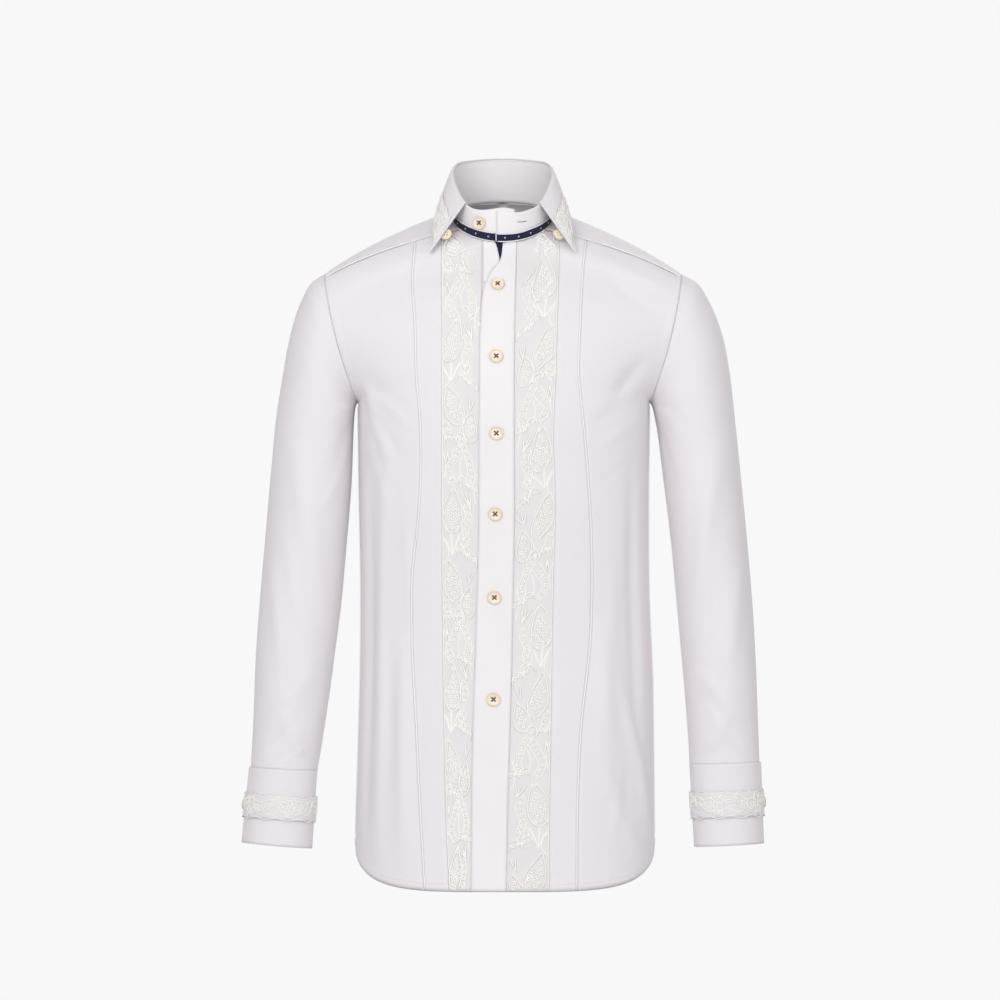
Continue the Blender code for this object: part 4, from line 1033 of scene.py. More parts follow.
def faces_inward(grid, centre):
    """True where a grid's faces look towards its middle line rather than away from it."""
    along = grid[:-1, 1:] - grid[:-1, :-1]
    upward = grid[1:, :-1] - grid[:-1, :-1]
    middles = (grid[:-1, :-1] + grid[1:, 1:]) / 2
    away = middles - centre(middles)
    return float((np.cross(along, upward) * away).sum()) < 0


def inset(grid, distance=SEAM_INSET, closed=False):
    """Draws the borders of a grid of points in, so that seams stay open by twice the distance."""
    result = np.array(grid, float)
    for border, neighbour in ((0, 1), (-1, -2)):
        result[border] += unit(result[neighbour] - result[border]) * distance
        if not closed:
            result[:, border] += unit(result[:, neighbour] - result[:, border]) * distance
    return result


def mesh_from_arrays(name, points, faces, maps, material):
    """An object from arrays of points in millimetres, faces and a map in metres for each point."""
    data = bpy.data.meshes.new(name)
    data.from_pydata((points * MM).tolist(), [], faces.tolist())
    layer = data.uv_layers.new(name="cloth")
    corners = np.zeros(len(data.loops), dtype=np.int32)
    data.loops.foreach_get("vertex_index", corners)
    layer.data.foreach_set("uv", maps[corners].astype(np.float32).ravel())
    data.materials.append(MATERIALS[material])
    data.shade_smooth()
    thing = bpy.data.objects.new(name, data)
    bpy.data.collections[COLLECTION].objects.link(thing)
    return thing


def grid_faces(rows, columns, closed, turned, offset=0):
    """The faces of a grid of points that are numbered row by row."""
    index = np.arange(rows * columns).reshape(rows, columns) + offset
    if closed:
        index = np.concatenate([index, index[:, :1]], axis=1)
    faces = np.stack([index[:-1, :-1], index[:-1, 1:], index[1:, 1:], index[1:, :-1]], axis=-1).reshape(-1, 4)
    return faces[:, ::-1] if turned else faces


def add_shell(name, grids, material, centre, thickness=SHELL, closed=False):
    """Cloth from one or more joined grids, given its thickness on the inner side."""
    points, faces, maps = [], [], []
    count = 0
    for grid in grids:
        rows, columns = grid.shape[:2]
        faces.append(grid_faces(rows, columns, closed, faces_inward(grid, centre), count))
        points.append(grid.reshape(-1, 3))
        sideways, upward = arc_lengths(grid, 1), arc_lengths(grid, 0)
        maps.append(path_of(sideways, upward).reshape(-1, 2) * MM)
        count += rows * columns
    joined = [np.concatenate(arrays) for arrays in (points, faces, maps)]
    thing = mesh_from_arrays(f"{name}_cloth", *joined, material)
    if len(grids) > 1:
        joined = bmesh.new()
        joined.from_mesh(thing.data)
        bmesh.ops.remove_doubles(joined, verts=joined.verts, dist=0.00005)
        joined.to_mesh(thing.data)
        joined.free()
    wall = thing.modifiers.new("thickness", "SOLIDIFY")
    wall.thickness = thickness * MM
    wall.offset = -1.0
    return thing


def flat_cut(grids, closed=False):
    """The width, length and area, in metres, of the cloth that plain grids show."""
    width = length = area = 0.0
    for grid in grids:
        ring = np.concatenate([grid, grid[:, :1]], axis=1) if closed else grid
        width = max(width, float(arc_lengths(ring, 1)[:, -1].max()))
        length += float(arc_lengths(ring, 0)[-1].max())
        along, upward = ring[:-1, 1:] - ring[:-1, :-1], ring[1:, :-1] - ring[:-1, :-1]
        area += float(np.linalg.norm(np.cross(along, upward), axis=-1).sum())
    return width * MM, length * MM, area * MM * MM


def stand_for(thing, node):
    """States which solid a piece stands for."""
    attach(thing, "root")
    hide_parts(node)


def declare(thing, node, flat):
    """States what a cloth piece stands for; the cut of the cloth that it shows is worked out but not kept."""
    stand_for(thing, node)
    width, length, area = flat
    area = min(max(area, 0.31 * width * length), width * length)


def trim(thing):
    """States that a piece of sewing or lace lies on the shirt."""
    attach(thing, "root")


def body_axis(points):
    """The middle of the body at each point's height."""
    return points * (0, 0, 1) - (0, 0, 40)


def sleeve_axis(side):
    """A function that gives the middle of a sleeve or cuff at each point's height."""
    heights = [row[4] for row in reversed(SLEEVE_RIGHT)]
    shares = [row[0] for row in reversed(SLEEVE_RIGHT)]

    def centre(points):
        share = np.interp(points[..., 2], heights, shares)
        outer_x, _, inner_x, _ = [column(share) for column in SLEEVE_ENDS[side]]
        return points_of(side * (outer_x + inner_x) / 2, SLEEVE_MIDDLE_Y(share), points[..., 2])

    return centre


def collar_axis(points):
    """The middle of the collar at each point's height."""
    return points * (0, 0, 1) + (0, NECK_CENTRE_Y, 0)


def make_front_side(name, side, tuck):
    """The outer part of a front, with the felled seam along its armhole."""
    rises = np.linspace(0, 1, FRONT_ROWS)[:, None]
    shares = np.linspace(0, 1, SIDE_COLUMNS)[None, :]
    row = ROW_YOKE_FRONT * rises
    start = across_at(side, -1, row, tuck(front_height(rises)))
    across = start + (1 - start) * shares
    plain = body_points(side, -1, across, row)
    lengths = arc_lengths(plain, 1)
    from_hole = lengths[:, -1:] - lengths
    above = soft_step(ROW_ARMPIT, ROW_ARMPIT + 0.01, row)
    felled = FELLED_RISE * above * (1 - soft_step(FELLED_WIDTH, FELLED_WIDTH + 1.5, from_hole))
    groove = -TUCK_GROOVE * np.exp(-(((lengths - TUCK_GROOVE_PLACE) / TUCK_GROOVE_WIDTH) ** 2))
    grid = body_points(side, -1, across, row, felled + groove)
    thing = add_shell(name, [inset(grid)], "cotton", body_axis)
    declare(thing, name, flat_cut([plain]))


def make_front_strip(name, tuck, lace):
    """The narrow part of a front between the tuck line and the lace."""
    rises = np.linspace(0, 1, FRONT_ROWS)[:, None]
    start, end = tuck(front_height(rises)), lace(front_height(rises))
    x = start + (end - start) * np.linspace(0, 1, STRIP_COLUMNS)[None, :]
    grid = front_points(x, rises)
    thing = add_shell(name, [inset(grid)], "cotton", body_axis)
    declare(thing, name, flat_cut([grid]))


def make_lace_ground(name, inner, outer):
    """The net that the cords of a lace strip lie on."""
    rises = np.linspace(0, 1, FRONT_ROWS)[:, None]
    height = front_height(rises)
    start, end = inner(height), outer(height)
    x = start + (end - start) * np.linspace(0, 1, LACE_COLUMNS)[None, :]
    grid = front_points(x, rises)
    # The lace finish's ground is darkened with painted shade
    thing = add_shell(name, [inset(grid)], "lace", body_axis)
    declare(thing, name, flat_cut([grid]))


def make_bands():
    """The button band, its navy tape and the placket over them."""
    foot = front_rise(NECK_FRONT - BAND_TAPE_LENGTH)
    low = np.linspace(0, foot, BAND_ROWS)[:, None]
    high = np.linspace(foot, 1, BAND_TOP_ROWS)[:, None]
    shares = np.linspace(0, 1, BAND_COLUMNS)[None, :]
    lower_edge = BAND_FREE(front_height(low))
    lower = front_points(BAND_OUTER + (lower_edge - BAND_OUTER) * shares, low)
    upper_edge = BAND_TAPE_EDGE(front_height(high))
    upper = front_points(BAND_OUTER + (upper_edge - BAND_OUTER) * shares, high)
    thing = add_shell("button_band", [inset(lower), inset(upper)], "band", body_axis)
    declare(thing, "button_band", flat_cut([lower, upper]))
    start, end = BAND_TAPE_EDGE(front_height(high)), BAND_FREE(front_height(high))
    strip = front_points(start + (end - start) * np.linspace(0, 1, TAPE_LINES)[None, :], high)
    stand_for(add_shell("band_tape", [inset(strip)], "tape", body_axis), "band_tape")
    rises = np.linspace(0, front_rise(NECK_FRONT - PLACKET_TOP_DROP), PLACKET_ROWS)[:, None]
    start, end = PLACKET_FREE(front_height(rises)), PLACKET_SEWN(front_height(rises))
    x = start + (end - start) * np.linspace(0, 1, LACE_COLUMNS)[None, :]
    grid = front_points(x, rises, LAYER)
    thing = add_shell("placket", [inset(grid)], "band", body_axis)
    declare(thing, "placket", flat_cut([grid]))


def yoke_seam_row(side, across):
    """The row at which the back meets the yoke, found from the seam's height."""
    height = YOKE_SEAM_CENTRE + (YOKE_SEAM_ARMHOLE - YOKE_SEAM_CENTRE) * across * across
    low, high = np.full(across.shape, ROW_ARMPIT), np.ones(across.shape)
    for _ in range(24):
        middle = (low + high) / 2
        below = body_surface(side, 1, across, middle)[..., 2] < height
        low, high = np.where(below, middle, low), np.where(below, high, middle)
    return low


def joined_halves(right, left):
    """One grid from the two halves of a panel that meet at the centre."""
    return np.concatenate([right[:, ::-1], left[:, 1:]], axis=1)


def make_back():
    """The back panel, from the hem to the yoke seam."""
    halves = []
    across = np.linspace(0, 1, HALF_COLUMNS)[None, :]
    for side in (-1, 1):
        seam = yoke_seam_row(side, across)
        low = np.linspace(0, ROW_ARMPIT, BACK_ROWS)[:, None] + 0 * across
        high = ROW_ARMPIT + (seam - ROW_ARMPIT) * np.linspace(0, 1, BACK_TOP_ROWS)[1:, None]
        halves.append(body_points(side, 1, across, np.concatenate([low, high])))
    grid = joined_halves(*halves)
    thing = add_shell("back", [inset(grid)], "cotton", body_axis)
    declare(thing, "back", flat_cut([grid]))


def make_yoke():
    """The yoke that covers both shoulders."""
    across = np.linspace(0, 1, HALF_COLUMNS)[None, :]
    saddle = []
    for side in (-1, 1):
        seam = yoke_seam_row(side, across)
        rows = seam + (ROW_NECK_BACK - seam) * np.linspace(0, 1, SADDLE_ROWS)[:, None]
        saddle.append(body_points(side, 1, across, rows))
    saddle = joined_halves(*saddle)
    grids = [inset(saddle)]
    flats = [saddle]
    for side in (-1, 1):
        behind = body_points(side, 1, across, np.linspace(ROW_NECK_BACK, 1, BEHIND_ROWS)[:, None])
        ahead = body_points(side, -1, across, np.linspace(1, ROW_YOKE_FRONT, AHEAD_ROWS)[1:, None])
        arm = np.concatenate([behind, ahead])
        flats.append(arm)
        arm = inset(arm)
        arm[0] = grids[0][-1][:HALF_COLUMNS][::-1] if side < 0 else grids[0][-1][HALF_COLUMNS - 1 :]
        grids.append(arm)
    thing = add_shell("yoke", grids, "cotton", body_axis)
    declare(thing, "yoke", flat_cut(flats))


def make_sleeve(name, side):
    """A sleeve and the placket strip at its opening behind."""
    head, rest = np.linspace(0, HEAD_SHARE, HEAD_ROWS), np.linspace(HEAD_SHARE, 1, SLEEVE_ROWS)
    shares = np.concatenate([head[:-1], rest])[:, None]
    angles = np.arange(0, 360, SLEEVE_TURN)[None, :]
    plain = sleeve_points(side, shares, angles)
    grid = inset(plain, closed=True)
    thing = add_shell(f"sleeve_{name}", [grid], "cotton", sleeve_axis(side), closed=True)
    declare(thing, f"sleeve_{name}", flat_cut([plain], closed=True))
    low, high = SLEEVE_PLACKET_ANGLE - SLEEVE_PLACKET_HALF, SLEEVE_PLACKET_ANGLE + SLEEVE_PLACKET_HALF
    shares = np.linspace(SLEEVE_PLACKET_TOP, 1, SLEEVE_PLACKET_ROWS)[:, None]
    angles = np.linspace(low, high, SLEEVE_PLACKET_COLUMNS)[None, :]
    strip = sleeve_points(side, shares, angles, SLEEVE_PLACKET_LIFT)
    thing = add_shell(f"sleeve_placket_{name}", [inset(strip)], "band", sleeve_axis(side))
    declare(thing, f"sleeve_placket_{name}", flat_cut([strip]))


def make_cuff(name, side):
    """A cuff whose ends overlap, and the ground of its lace band."""
    angles = np.linspace(CUFF_UNDER_END, CUFF_OVER_END + 360, CUFF_COLUMNS)[None, :]
    grid = cuff_points(side, np.linspace(0, 1, CUFF_ROWS)[:, None], angles)
    thing = add_shell(f"cuff_{name}", [inset(grid)], "cotton", sleeve_axis(side), BAND_SHELL)
    declare(thing, f"cuff_{name}", flat_cut([grid]))
    lace_angles = np.linspace(CUFF_OVER_END + 6, CUFF_OVER_END + 358, CUFF_COLUMNS)[None, :]
    shares = np.linspace(CUFF_LACE_TOP, CUFF_LACE_FOOT, CUFF_LACE_ROWS)[:, None]
    band = cuff_points(side, shares, lace_angles, LAYER)
    thing = add_shell(f"cuff_lace_{name}", [band], "lace", sleeve_axis(side), LACE_SHELL)
    declare(thing, f"cuff_lace_{name}", flat_cut([band]))


def make_collar():
    """The stand with its navy tape, the leaf that folds over it and the lace on its points."""
    angles = np.linspace(STAND_UNDER_END, STAND_OVER_END - 360, COLLAR_COLUMNS)[None, :]
    stand = stand_points(angles, np.linspace(0, 1, STAND_ROWS)[:, None])
    thing = add_shell("collar_stand", [stand], "band", collar_axis, BAND_SHELL)
    declare(thing, "collar_stand", flat_cut([stand]))
    tape_angles = np.linspace(STAND_OVER_END - 2, STAND_OVER_END - 360, COLLAR_COLUMNS)[None, :]
    from_front = around_from_front(tape_angles)
    lifts = np.linspace(0, TAPE_HEIGHT, TAPE_LINES)[:, None]
    tape = stand_points(tape_angles, lifts / STAND_HEIGHT(from_front), LAYER)
    thing = add_shell("neck_tape", [tape], "tape", collar_axis, TAPE_SHELL)
    stand_for(thing, "neck_tape")
    leaf_angles = np.linspace(-LEAF_START, LEAF_START - 360, COLLAR_COLUMNS)[None, :]
    over, down = np.linspace(0, LEAF_ROLL_END, LEAF_ROLL_ROWS), np.linspace(LEAF_ROLL_END, 1, LEAF_ROWS)
    leaf = leaf_points(leaf_angles, np.concatenate([over[:-1], down])[:, None])
    # The collar leaf takes the finish that is darkened with painted shade
    thing = add_shell("collar_fall", [leaf], "leaf", collar_axis)
    declare(thing, "collar_fall", flat_cut([leaf]))
    for name, side in (("right", -1), ("left", 1)):
        angles = side * np.linspace(LEAF_START + 2, LEAF_LACE_END - 2, LEAF_LACE_COLUMNS)[None, :]
        shares = np.linspace(LEAF_LACE_FROM + 0.04, LEAF_LACE_TO, LEAF_LACE_ROWS)[:, None]
        patch = leaf_points(angles, shares, LAYER)
        thing = add_shell(f"collar_lace_{name}", [patch], "lace", collar_axis, LACE_SHELL)
        declare(thing, f"collar_lace_{name}", flat_cut([patch]))


def constant(value):
    """An edge that keeps its distance from the centre plane."""
    return lambda height: value + 0 * height


def make_cloth():
    """Every piece of cloth."""
    make_front_side("front_right_side", -1, TUCK_RIGHT)
    make_front_side("front_left_side", 1, TUCK_LEFT)
    make_front_strip("front_right_strip", TUCK_RIGHT, LACE_EDGE_RIGHT)
    make_front_strip("front_left_strip", TUCK_LEFT, LACE_EDGE_LEFT)
    make_lace_ground("lace_right", constant(LACE_RIGHT_INNER), LACE_EDGE_RIGHT)
    make_lace_ground("lace_left", lambda height: PLACKET_SEWN(height) - LACE_LEFT_UNDERLAP, LACE_EDGE_LEFT)
    make_bands()
    make_back()
    make_yoke()
    for name, side in (("right", -1), ("left", 1)):
        make_sleeve(name, side)
        make_cuff(name, side)
    make_collar()


def with_normals(surface, centre, first, second, steps=(0.5, 0.5)):
    """Points of a surface and the directions out of it."""
    points = surface(first, second)
    along = surface(first + steps[0], second) - points
    upward = surface(first, second + steps[1]) - points
    normals = unit(np.cross(along, upward))
    outward = np.sign((normals * (points - centre(points))).sum(axis=-1, keepdims=True))
    return points, normals * outward


class Cords:
    """Gathers raised cords that follow a surface, and joins them into one mesh."""

    def __init__(self, surface, centre, steps=(0.5, 0.5), scale=1.0):
        self.surface = surface
        self.scale = scale
        self.centre = centre
        self.steps = steps
        self.points = []
        self.faces = []
        self.maps = []
        self.count = 0

    def add(self, places, size, closed=False, profile=None):
        """Adds cords along lines of places; profile widens and narrows them from end to end."""
        places = np.asarray(places, float)
        if places.ndim == 2:
            places = places[None]
        lines, stations = places.shape[:2]
        middle, normals = with_normals(self.surface, self.centre, places[..., 0], places[..., 1], self.steps)
        if closed:
            tangents = np.roll(middle, -1, axis=1) - np.roll(middle, 1, axis=1)
        else:
            tangents = np.gradient(middle, axis=1)
        sides = unit(np.cross(normals, tangents))
        taper = np.ones(stations) if profile is None else profile(np.linspace(0, 1, stations))
        if profile is None and not closed and stations > 3:
            taper[[0, -1]] = CORD_END
        section = np.array(CORD_SECTION)
        width, height = size[0] * self.scale, size[1] * self.scale
        across = (section[:, 0] * width)[None, None, :, None] * taper[None, :, None, None]
        upward = (section[:, 1] * height)[None, None, :, None] * taper[None, :, None, None]
        corners = middle[:, :, None] + sides[:, :, None] * across + normals[:, :, None] * upward
        parts = len(section)
        index = np.arange(lines * stations * parts).reshape(lines, stations, parts) + self.count
        if closed:
            index = np.concatenate([index, index[:, :1]], axis=1)
        quads = [index[:, :-1, :-1], index[:, 1:, :-1], index[:, 1:, 1:], index[:, :-1, 1:]]
        self.faces.append(np.stack(quads, axis=-1).reshape(-1, 4))
        self.points.append(corners.reshape(-1, 3))
        along = np.broadcast_to(np.arange(stations)[None, :, None] * CORD_STEP, corners.shape[:3])
        around = np.broadcast_to(section[:, 0][None, None, :] * size[0], corners.shape[:3])
        self.maps.append(path_of(along, around).reshape(-1, 2) * MM)
        self.count += lines * stations * parts

    def add_rings(self, places, diameters, size=RING_CORD):
        """Adds a small ring round each place; the surface's lengths are millimetres."""
        turns = np.linspace(0, 2 * math.pi, RING_STEPS, endpoint=False)
        circle = path_of(np.cos(turns), np.sin(turns)) / 2
        scale = np.array(self.steps) * 2
        rings = np.asarray(places, float)[:, None] + circle * np.reshape(diameters, (-1, 1, 1)) * scale
        self.add(rings, size, closed=True)

    def add_stitches(self, path):
        """Adds a row of stitches along one path of places."""
        path = np.asarray(path, float)
        points = self.surface(path[:, 0], path[:, 1])
        lengths = np.concatenate([[0.0], np.cumsum(np.linalg.norm(np.diff(points, axis=0), axis=-1))])
        starts = np.arange(STITCH_PITCH / 2, lengths[-1] - STITCH_LENGTH, STITCH_PITCH)
        ends = np.stack([starts, starts + STITCH_LENGTH], axis=-1)
        places = np.stack([np.interp(ends, lengths, path[:, axis]) for axis in (0, 1)], axis=-1)
        if len(places):
            self.add(places, STITCH)

    def build(self, name, material):
        """Joins the cords into one piece."""
        joined = [np.concatenate(arrays) for arrays in (self.points, self.faces, self.maps)]
        trim(mesh_from_arrays(name, *joined, material))


def span(start, end, count):
    """A straight path of places."""
    return np.linspace(np.array(start, float), np.array(end, float), count)


def turned(path, place, degrees):
    """A motif's path, turned and set at its place."""
    turn = math.radians(degrees)
    spin = np.array([[math.cos(turn), math.sin(turn)], [-math.sin(turn), math.cos(turn)]])
    return np.asarray(path, float) @ spin + place


def smooth_path(places, step=CORD_STEP):
    """A smooth path through a few places, with even steps."""
    places = np.array(places, float)
    keys = np.arange(len(places))
    fine = np.linspace(0, keys[-1], 12 * len(places))
    rows = [(key, *place) for key, place in zip(keys, places)]
    path = np.stack([smooth_column(rows, column)(fine) for column in (1, 2)], axis=-1)
    lengths = np.concatenate([[0.0], np.cumsum(np.linalg.norm(np.diff(path, axis=0), axis=-1))])
    even = np.linspace(0, lengths[-1], max(int(lengths[-1] / step), 3))
    return np.stack([np.interp(even, lengths, path[:, axis]) for axis in (0, 1)], axis=-1)


def leaf_motif(length, width):
    """A pointed leaf: a thick outline, and rings that fill it."""
    shares = np.linspace(0, 1, 24)
    half = width / 2 * np.sin(math.pi * shares**0.68) ** 0.95
    upright = (shares - 0.5) * length
    thick = [path_of(side * half, upright) for side in (-1, 1)]
    rings = []
    for row, height in enumerate(np.arange(-length / 2 + 7, length / 2 - 6, RING_PITCH * 0.88)):
        room = float(np.interp(height, upright, half)) - RING_DIAMETER * 0.85
        start = RING_PITCH * (0.5 if row % 2 else 0.0)
        places = np.arange(start - 4 * RING_PITCH, 4 * RING_PITCH, RING_PITCH)
        rings += [(x, height) for x in places if abs(x) <= room]
    return thick, [], rings, []


def arch_motif(length, width):
    """Two arches that meet in a notch, with two rings beneath each."""
    thick, rings = [], []
    turns = np.linspace(math.pi * 1.08, -math.pi * 0.08, 16)
    for side in (-1, 1):
        middle = side * length / 4
        arc = path_of(middle + length / 4 * np.cos(turns), width * np.sin(turns))
        thick.append(arc)
        for across, up in ((-2.9, 0.45), (2.9, 0.45)):
            rings.append((middle + across, width * up))
    return thick, [], rings, []


def sprays_motif(length, spread):
    """Long fine lines in pairs that spread from a point."""
    fine = []
    for turn in np.radians(np.linspace(-spread / 2, spread / 2, 3)):
        shares = np.linspace(0.05, 1, 12)
        for gap in (-1.1, 1.1):
            bend = 0.16 * math.sin(turn * 3) * length * shares**2 + gap * shares
            across = math.sin(turn) * length * shares + bend
            fine.append(path_of(across, (math.cos(turn) * shares - 0.5) * length))
    return [], fine, [], []


def ring_motif(length, diameter):
    """A tapering column of rings between two cords."""
    count = int(length / (diameter + 0.8))
    rings = [(0.0, -length / 2 + (index + 0.5) * length / count) for index in range(count)]
    shares = np.linspace(0, 1, 14)
    aside = diameter / 2 + 2.0 - 1.2 * shares
    fine = [path_of(side * aside, (shares - 0.5) * length) for side in (-1, 1)]
    return [], fine, rings, []


def petal_motif(length, spread):
    """Three plump petals that spread from one point."""
    petals = []
    for turn in np.radians((-spread, 0.0, spread)):
        shares = np.linspace(0, 1, 8)
        bend = 0.2 * math.sin(turn) * length * shares**2
        petals.append(path_of(math.sin(turn) * length * shares + bend, math.cos(turn) * length * shares))
    return [], [], [], petals


MOTIFS = {
    "leaf": leaf_motif,
    "arch": arch_motif,
    "sprays": sprays_motif,
    "rings": ring_motif,
    "petals": petal_motif,
}


def petal_profile(shares):
    """How wide a petal is from its foot to its tip, beside its greatest width."""
    return 0.25 + 0.75 * np.sin(math.pi * np.clip(shares * 0.85 + 0.08, 0, 1)) ** 0.8


def clipped(path, inside):
    """The stretches of a path that lie inside a region."""
    kept = inside(path[:, 0], path[:, 1])
    cuts = np.flatnonzero(np.diff(kept.astype(int))) + 1
    pieces = np.split(path, cuts)
    flags = np.split(kept, cuts)
    return [piece for piece, flag in zip(pieces, flags) if flag[0] and len(piece) > 2]


def embroider(cords, motifs, vines, place_of, inside, shake, lines=()):
    """Lays motifs, vines and cords on a surface; place_of sets a motif's own millimetres on it."""
    thick, middling, fine, petals, rings, ring_sizes = [], [], [], [], [], []
    for kind, across, up, length, width, turn in motifs:
        across, up, turn = np.array([across, up, turn]) + shake.uniform(-1, 1, 3) * MOTIF_SHAKE
        parts = MOTIFS[kind](length, width)
        for part, gathered in zip((parts[0], parts[1], parts[3]), (thick, fine, petals)):
            gathered += [place_of(turned(line, (across, up), turn)) for line in part]
        if parts[2]:
            rings.append(place_of(turned(parts[2], (across, up), turn)))
            sizes = np.full(len(parts[2]), RING_DIAMETER)
            if kind == "rings":
                sizes = np.linspace(width, width * COLUMN_END, len(parts[2]))
            ring_sizes.append(sizes)
    for vine in vines:
        middle = smooth_path(vine)
        ahead = np.gradient(middle, axis=0)
        sideways = unit(path_of(-ahead[:, 1], ahead[:, 0])) * VINE_HALF
        middling += [place_of(middle + sideways * side) for side in (-1, 1)]
        beads = smooth_path(vine, RING_DIAMETER + VINE_BEAD_GAP)
        rings.append(place_of(beads))
        ring_sizes.append(np.full(len(beads), RING_DIAMETER * VINE_BEAD))
    fine += [place_of(smooth_path(line)) for line in lines]
    for gathered, size in ((thick, THICK_CORD), (middling, MIDDLE_CORD), (fine, FINE_CORD)):
        for line in gathered:
            for piece in clipped(line, inside):
                cords.add(piece, size)
    for line in petals:
        if inside(line[:, 0], line[:, 1]).all():
            cords.add(line, PETAL, profile=petal_profile)
    rings, ring_sizes = np.concatenate(rings), np.concatenate(ring_sizes)
    kept = inside(rings[:, 0], rings[:, 1])
    cords.add_rings(rings[kept], ring_sizes[kept])


def front_surface(lift=0.0):
    """The front as a surface of distances from the centre plane and heights."""
    return lambda x, height: front_points(x, front_rise(height), lift)


def make_lace_strip(name, side):
    """The cords of one lace strip: motifs, vines, single cords and the edge."""
    cords = Cords(front_surface(), body_axis)
    shake = np.random.default_rng(MOTIF_SEED + side)

    def inner(height):
        if side < 0:
            return np.minimum(PLACKET_FREE(height), LACE_TOP_RIGHT(height)) - LACE_MARGIN
        return np.maximum(PLACKET_SEWN(height), LACE_TOP_LEFT(height)) + LACE_MARGIN

    def outer(height):
        return LACE_EDGE_RIGHT(height) + LACE_MARGIN if side < 0 else LACE_EDGE_LEFT(height) - LACE_MARGIN

    def inside(x, height):
        within = np.abs(x) > np.abs(inner(height)) * (np.sign(inner(height)) == side)
        within = within & (np.abs(x) < np.abs(outer(height))) & (x * side > 0)
        return within & (height > HEM_FRONT + 2) & (height < NECK_FRONT - 1)

    heights = np.arange(HEM_FRONT + 1, NECK_FRONT - 1, LACE_EDGE_STEP)
    repeats = int((NECK_FRONT - HEM_FRONT) / LACE_PERIOD) + 1
    shift = 0.0 if side < 0 else LACE_PERIOD * LACE_SHIFT
    for repeat in range(-1, repeats):
        start = HEM_FRONT + repeat * LACE_PERIOD + shift

        def place_of(path, start=start):
            height = path[:, 1] + start
            from_inner = (path[:, 0] - LACE_WIDTH / 2) / LACE_WIDTH + 0.5
            first = inner(np.clip(height, HEM_FRONT, LACE_WIDEST))
            width = outer(height) - first
            return path_of(first + width * from_inner, height)

        embroider(cords, LACE_MOTIFS, LACE_VINES, place_of, inside, shake, LACE_LINES)
    cords.add(path_of(outer(heights), heights), FINE_CORD)
    cords.build(f"lace_cords_{name}", "cord")


def make_front_sewing():
    """Piping at the tuck lines, edge stitching of the placket, darts and stitches beside the lace."""
    heights = np.arange(HEM_FRONT + 1, NECK_FRONT - 2, FRONT_SEWING_STEP)
    cloth = Cords(front_surface(), body_axis)
    for tuck in (TUCK_RIGHT, TUCK_LEFT):
        top = heights[heights < front_height(1.0) - 3]
        cloth.add(path_of(tuck(top), top), PIPING)
    for places, size in DART_LINES:
        cloth.add(smooth_path(places), size)
    cloth.build("tuck_piping", "white_thread")
    sewing = Cords(front_surface(), body_axis)
    for edge, side in ((LACE_EDGE_RIGHT, -1), (LACE_EDGE_LEFT, 1)):
        for out in LACE_STITCHES:
            sewing.add_stitches(path_of(edge(heights) + side * out, heights))
    for tuck, side in ((TUCK_RIGHT, -1), (TUCK_LEFT, 1)):
        sewing.add_stitches(path_of(tuck(heights) - side * TUCK_STITCH, heights))
    sewing.build("front_stitches", "white_thread")
    over = Cords(front_surface(LAYER), body_axis)
    heights = heights[heights < NECK_FRONT - PLACKET_TOP_DROP - 2]
    over.add_stitches(path_of(PLACKET_FREE(heights) + PLACKET_STITCH, heights))
    over.add_stitches(path_of(PLACKET_SEWN(heights) - PLACKET_STITCH, heights))
    over.build("placket_stitches", "white_thread")


def body_place(side, face):
    """One half of a face of the body as a surface of places across it and rows."""
    return lambda across, row: body_points(side, face, across, row, FELLED_RISE)


def make_seam_sewing():
    """Stitches along the hem, the armholes, the side seams and the yoke, and the yoke's piping."""
    for name, face in (("front", -1), ("back", 1)):
        for side in (-1, 1):
            cords = Cords(body_place(side, face), body_axis, (BODY_STEP, BODY_STEP))
            across = np.linspace(0.02, 0.995, 120)
            cords.add_stitches(path_of(across, HEM_STITCH_ROW))
            up = np.linspace(0.02, ROW_ARMPIT - 0.005, 200)
            cords.add_stitches(path_of(SIDE_STITCH_ACROSS, up))
            hole = np.linspace(ROW_ARMPIT + 0.006, ROW_YOKE_FRONT if face < 0 else 0.985, 80)
            middle = body_points(side, face, 1.0, hole)
            inner = body_points(side, face, 0.9, hole)
            width = np.linalg.norm(middle - inner, axis=-1)
            for distance in (ARMHOLE_STITCH, FELLED_WIDTH):
                cords.add_stitches(path_of(1 - 0.1 * distance / width, hole))
            if face < 0:
                across = np.linspace(0.30, 0.98, 80)
                for up in YOKE_STITCH_ROWS:
                    cords.add_stitches(path_of(across, up))
                cords.add(path_of(across, ROW_YOKE_FRONT), YOKE_PIPING)
            else:
                across = np.linspace(0.01, 0.99, 90)
                for up in BACK_YOKE_STITCHES:
                    cords.add_stitches(path_of(across, yoke_seam_row(side, across) + up))
            cords.build(f"{name}_seam_stitches_{'right' if side < 0 else 'left'}", "white_thread")


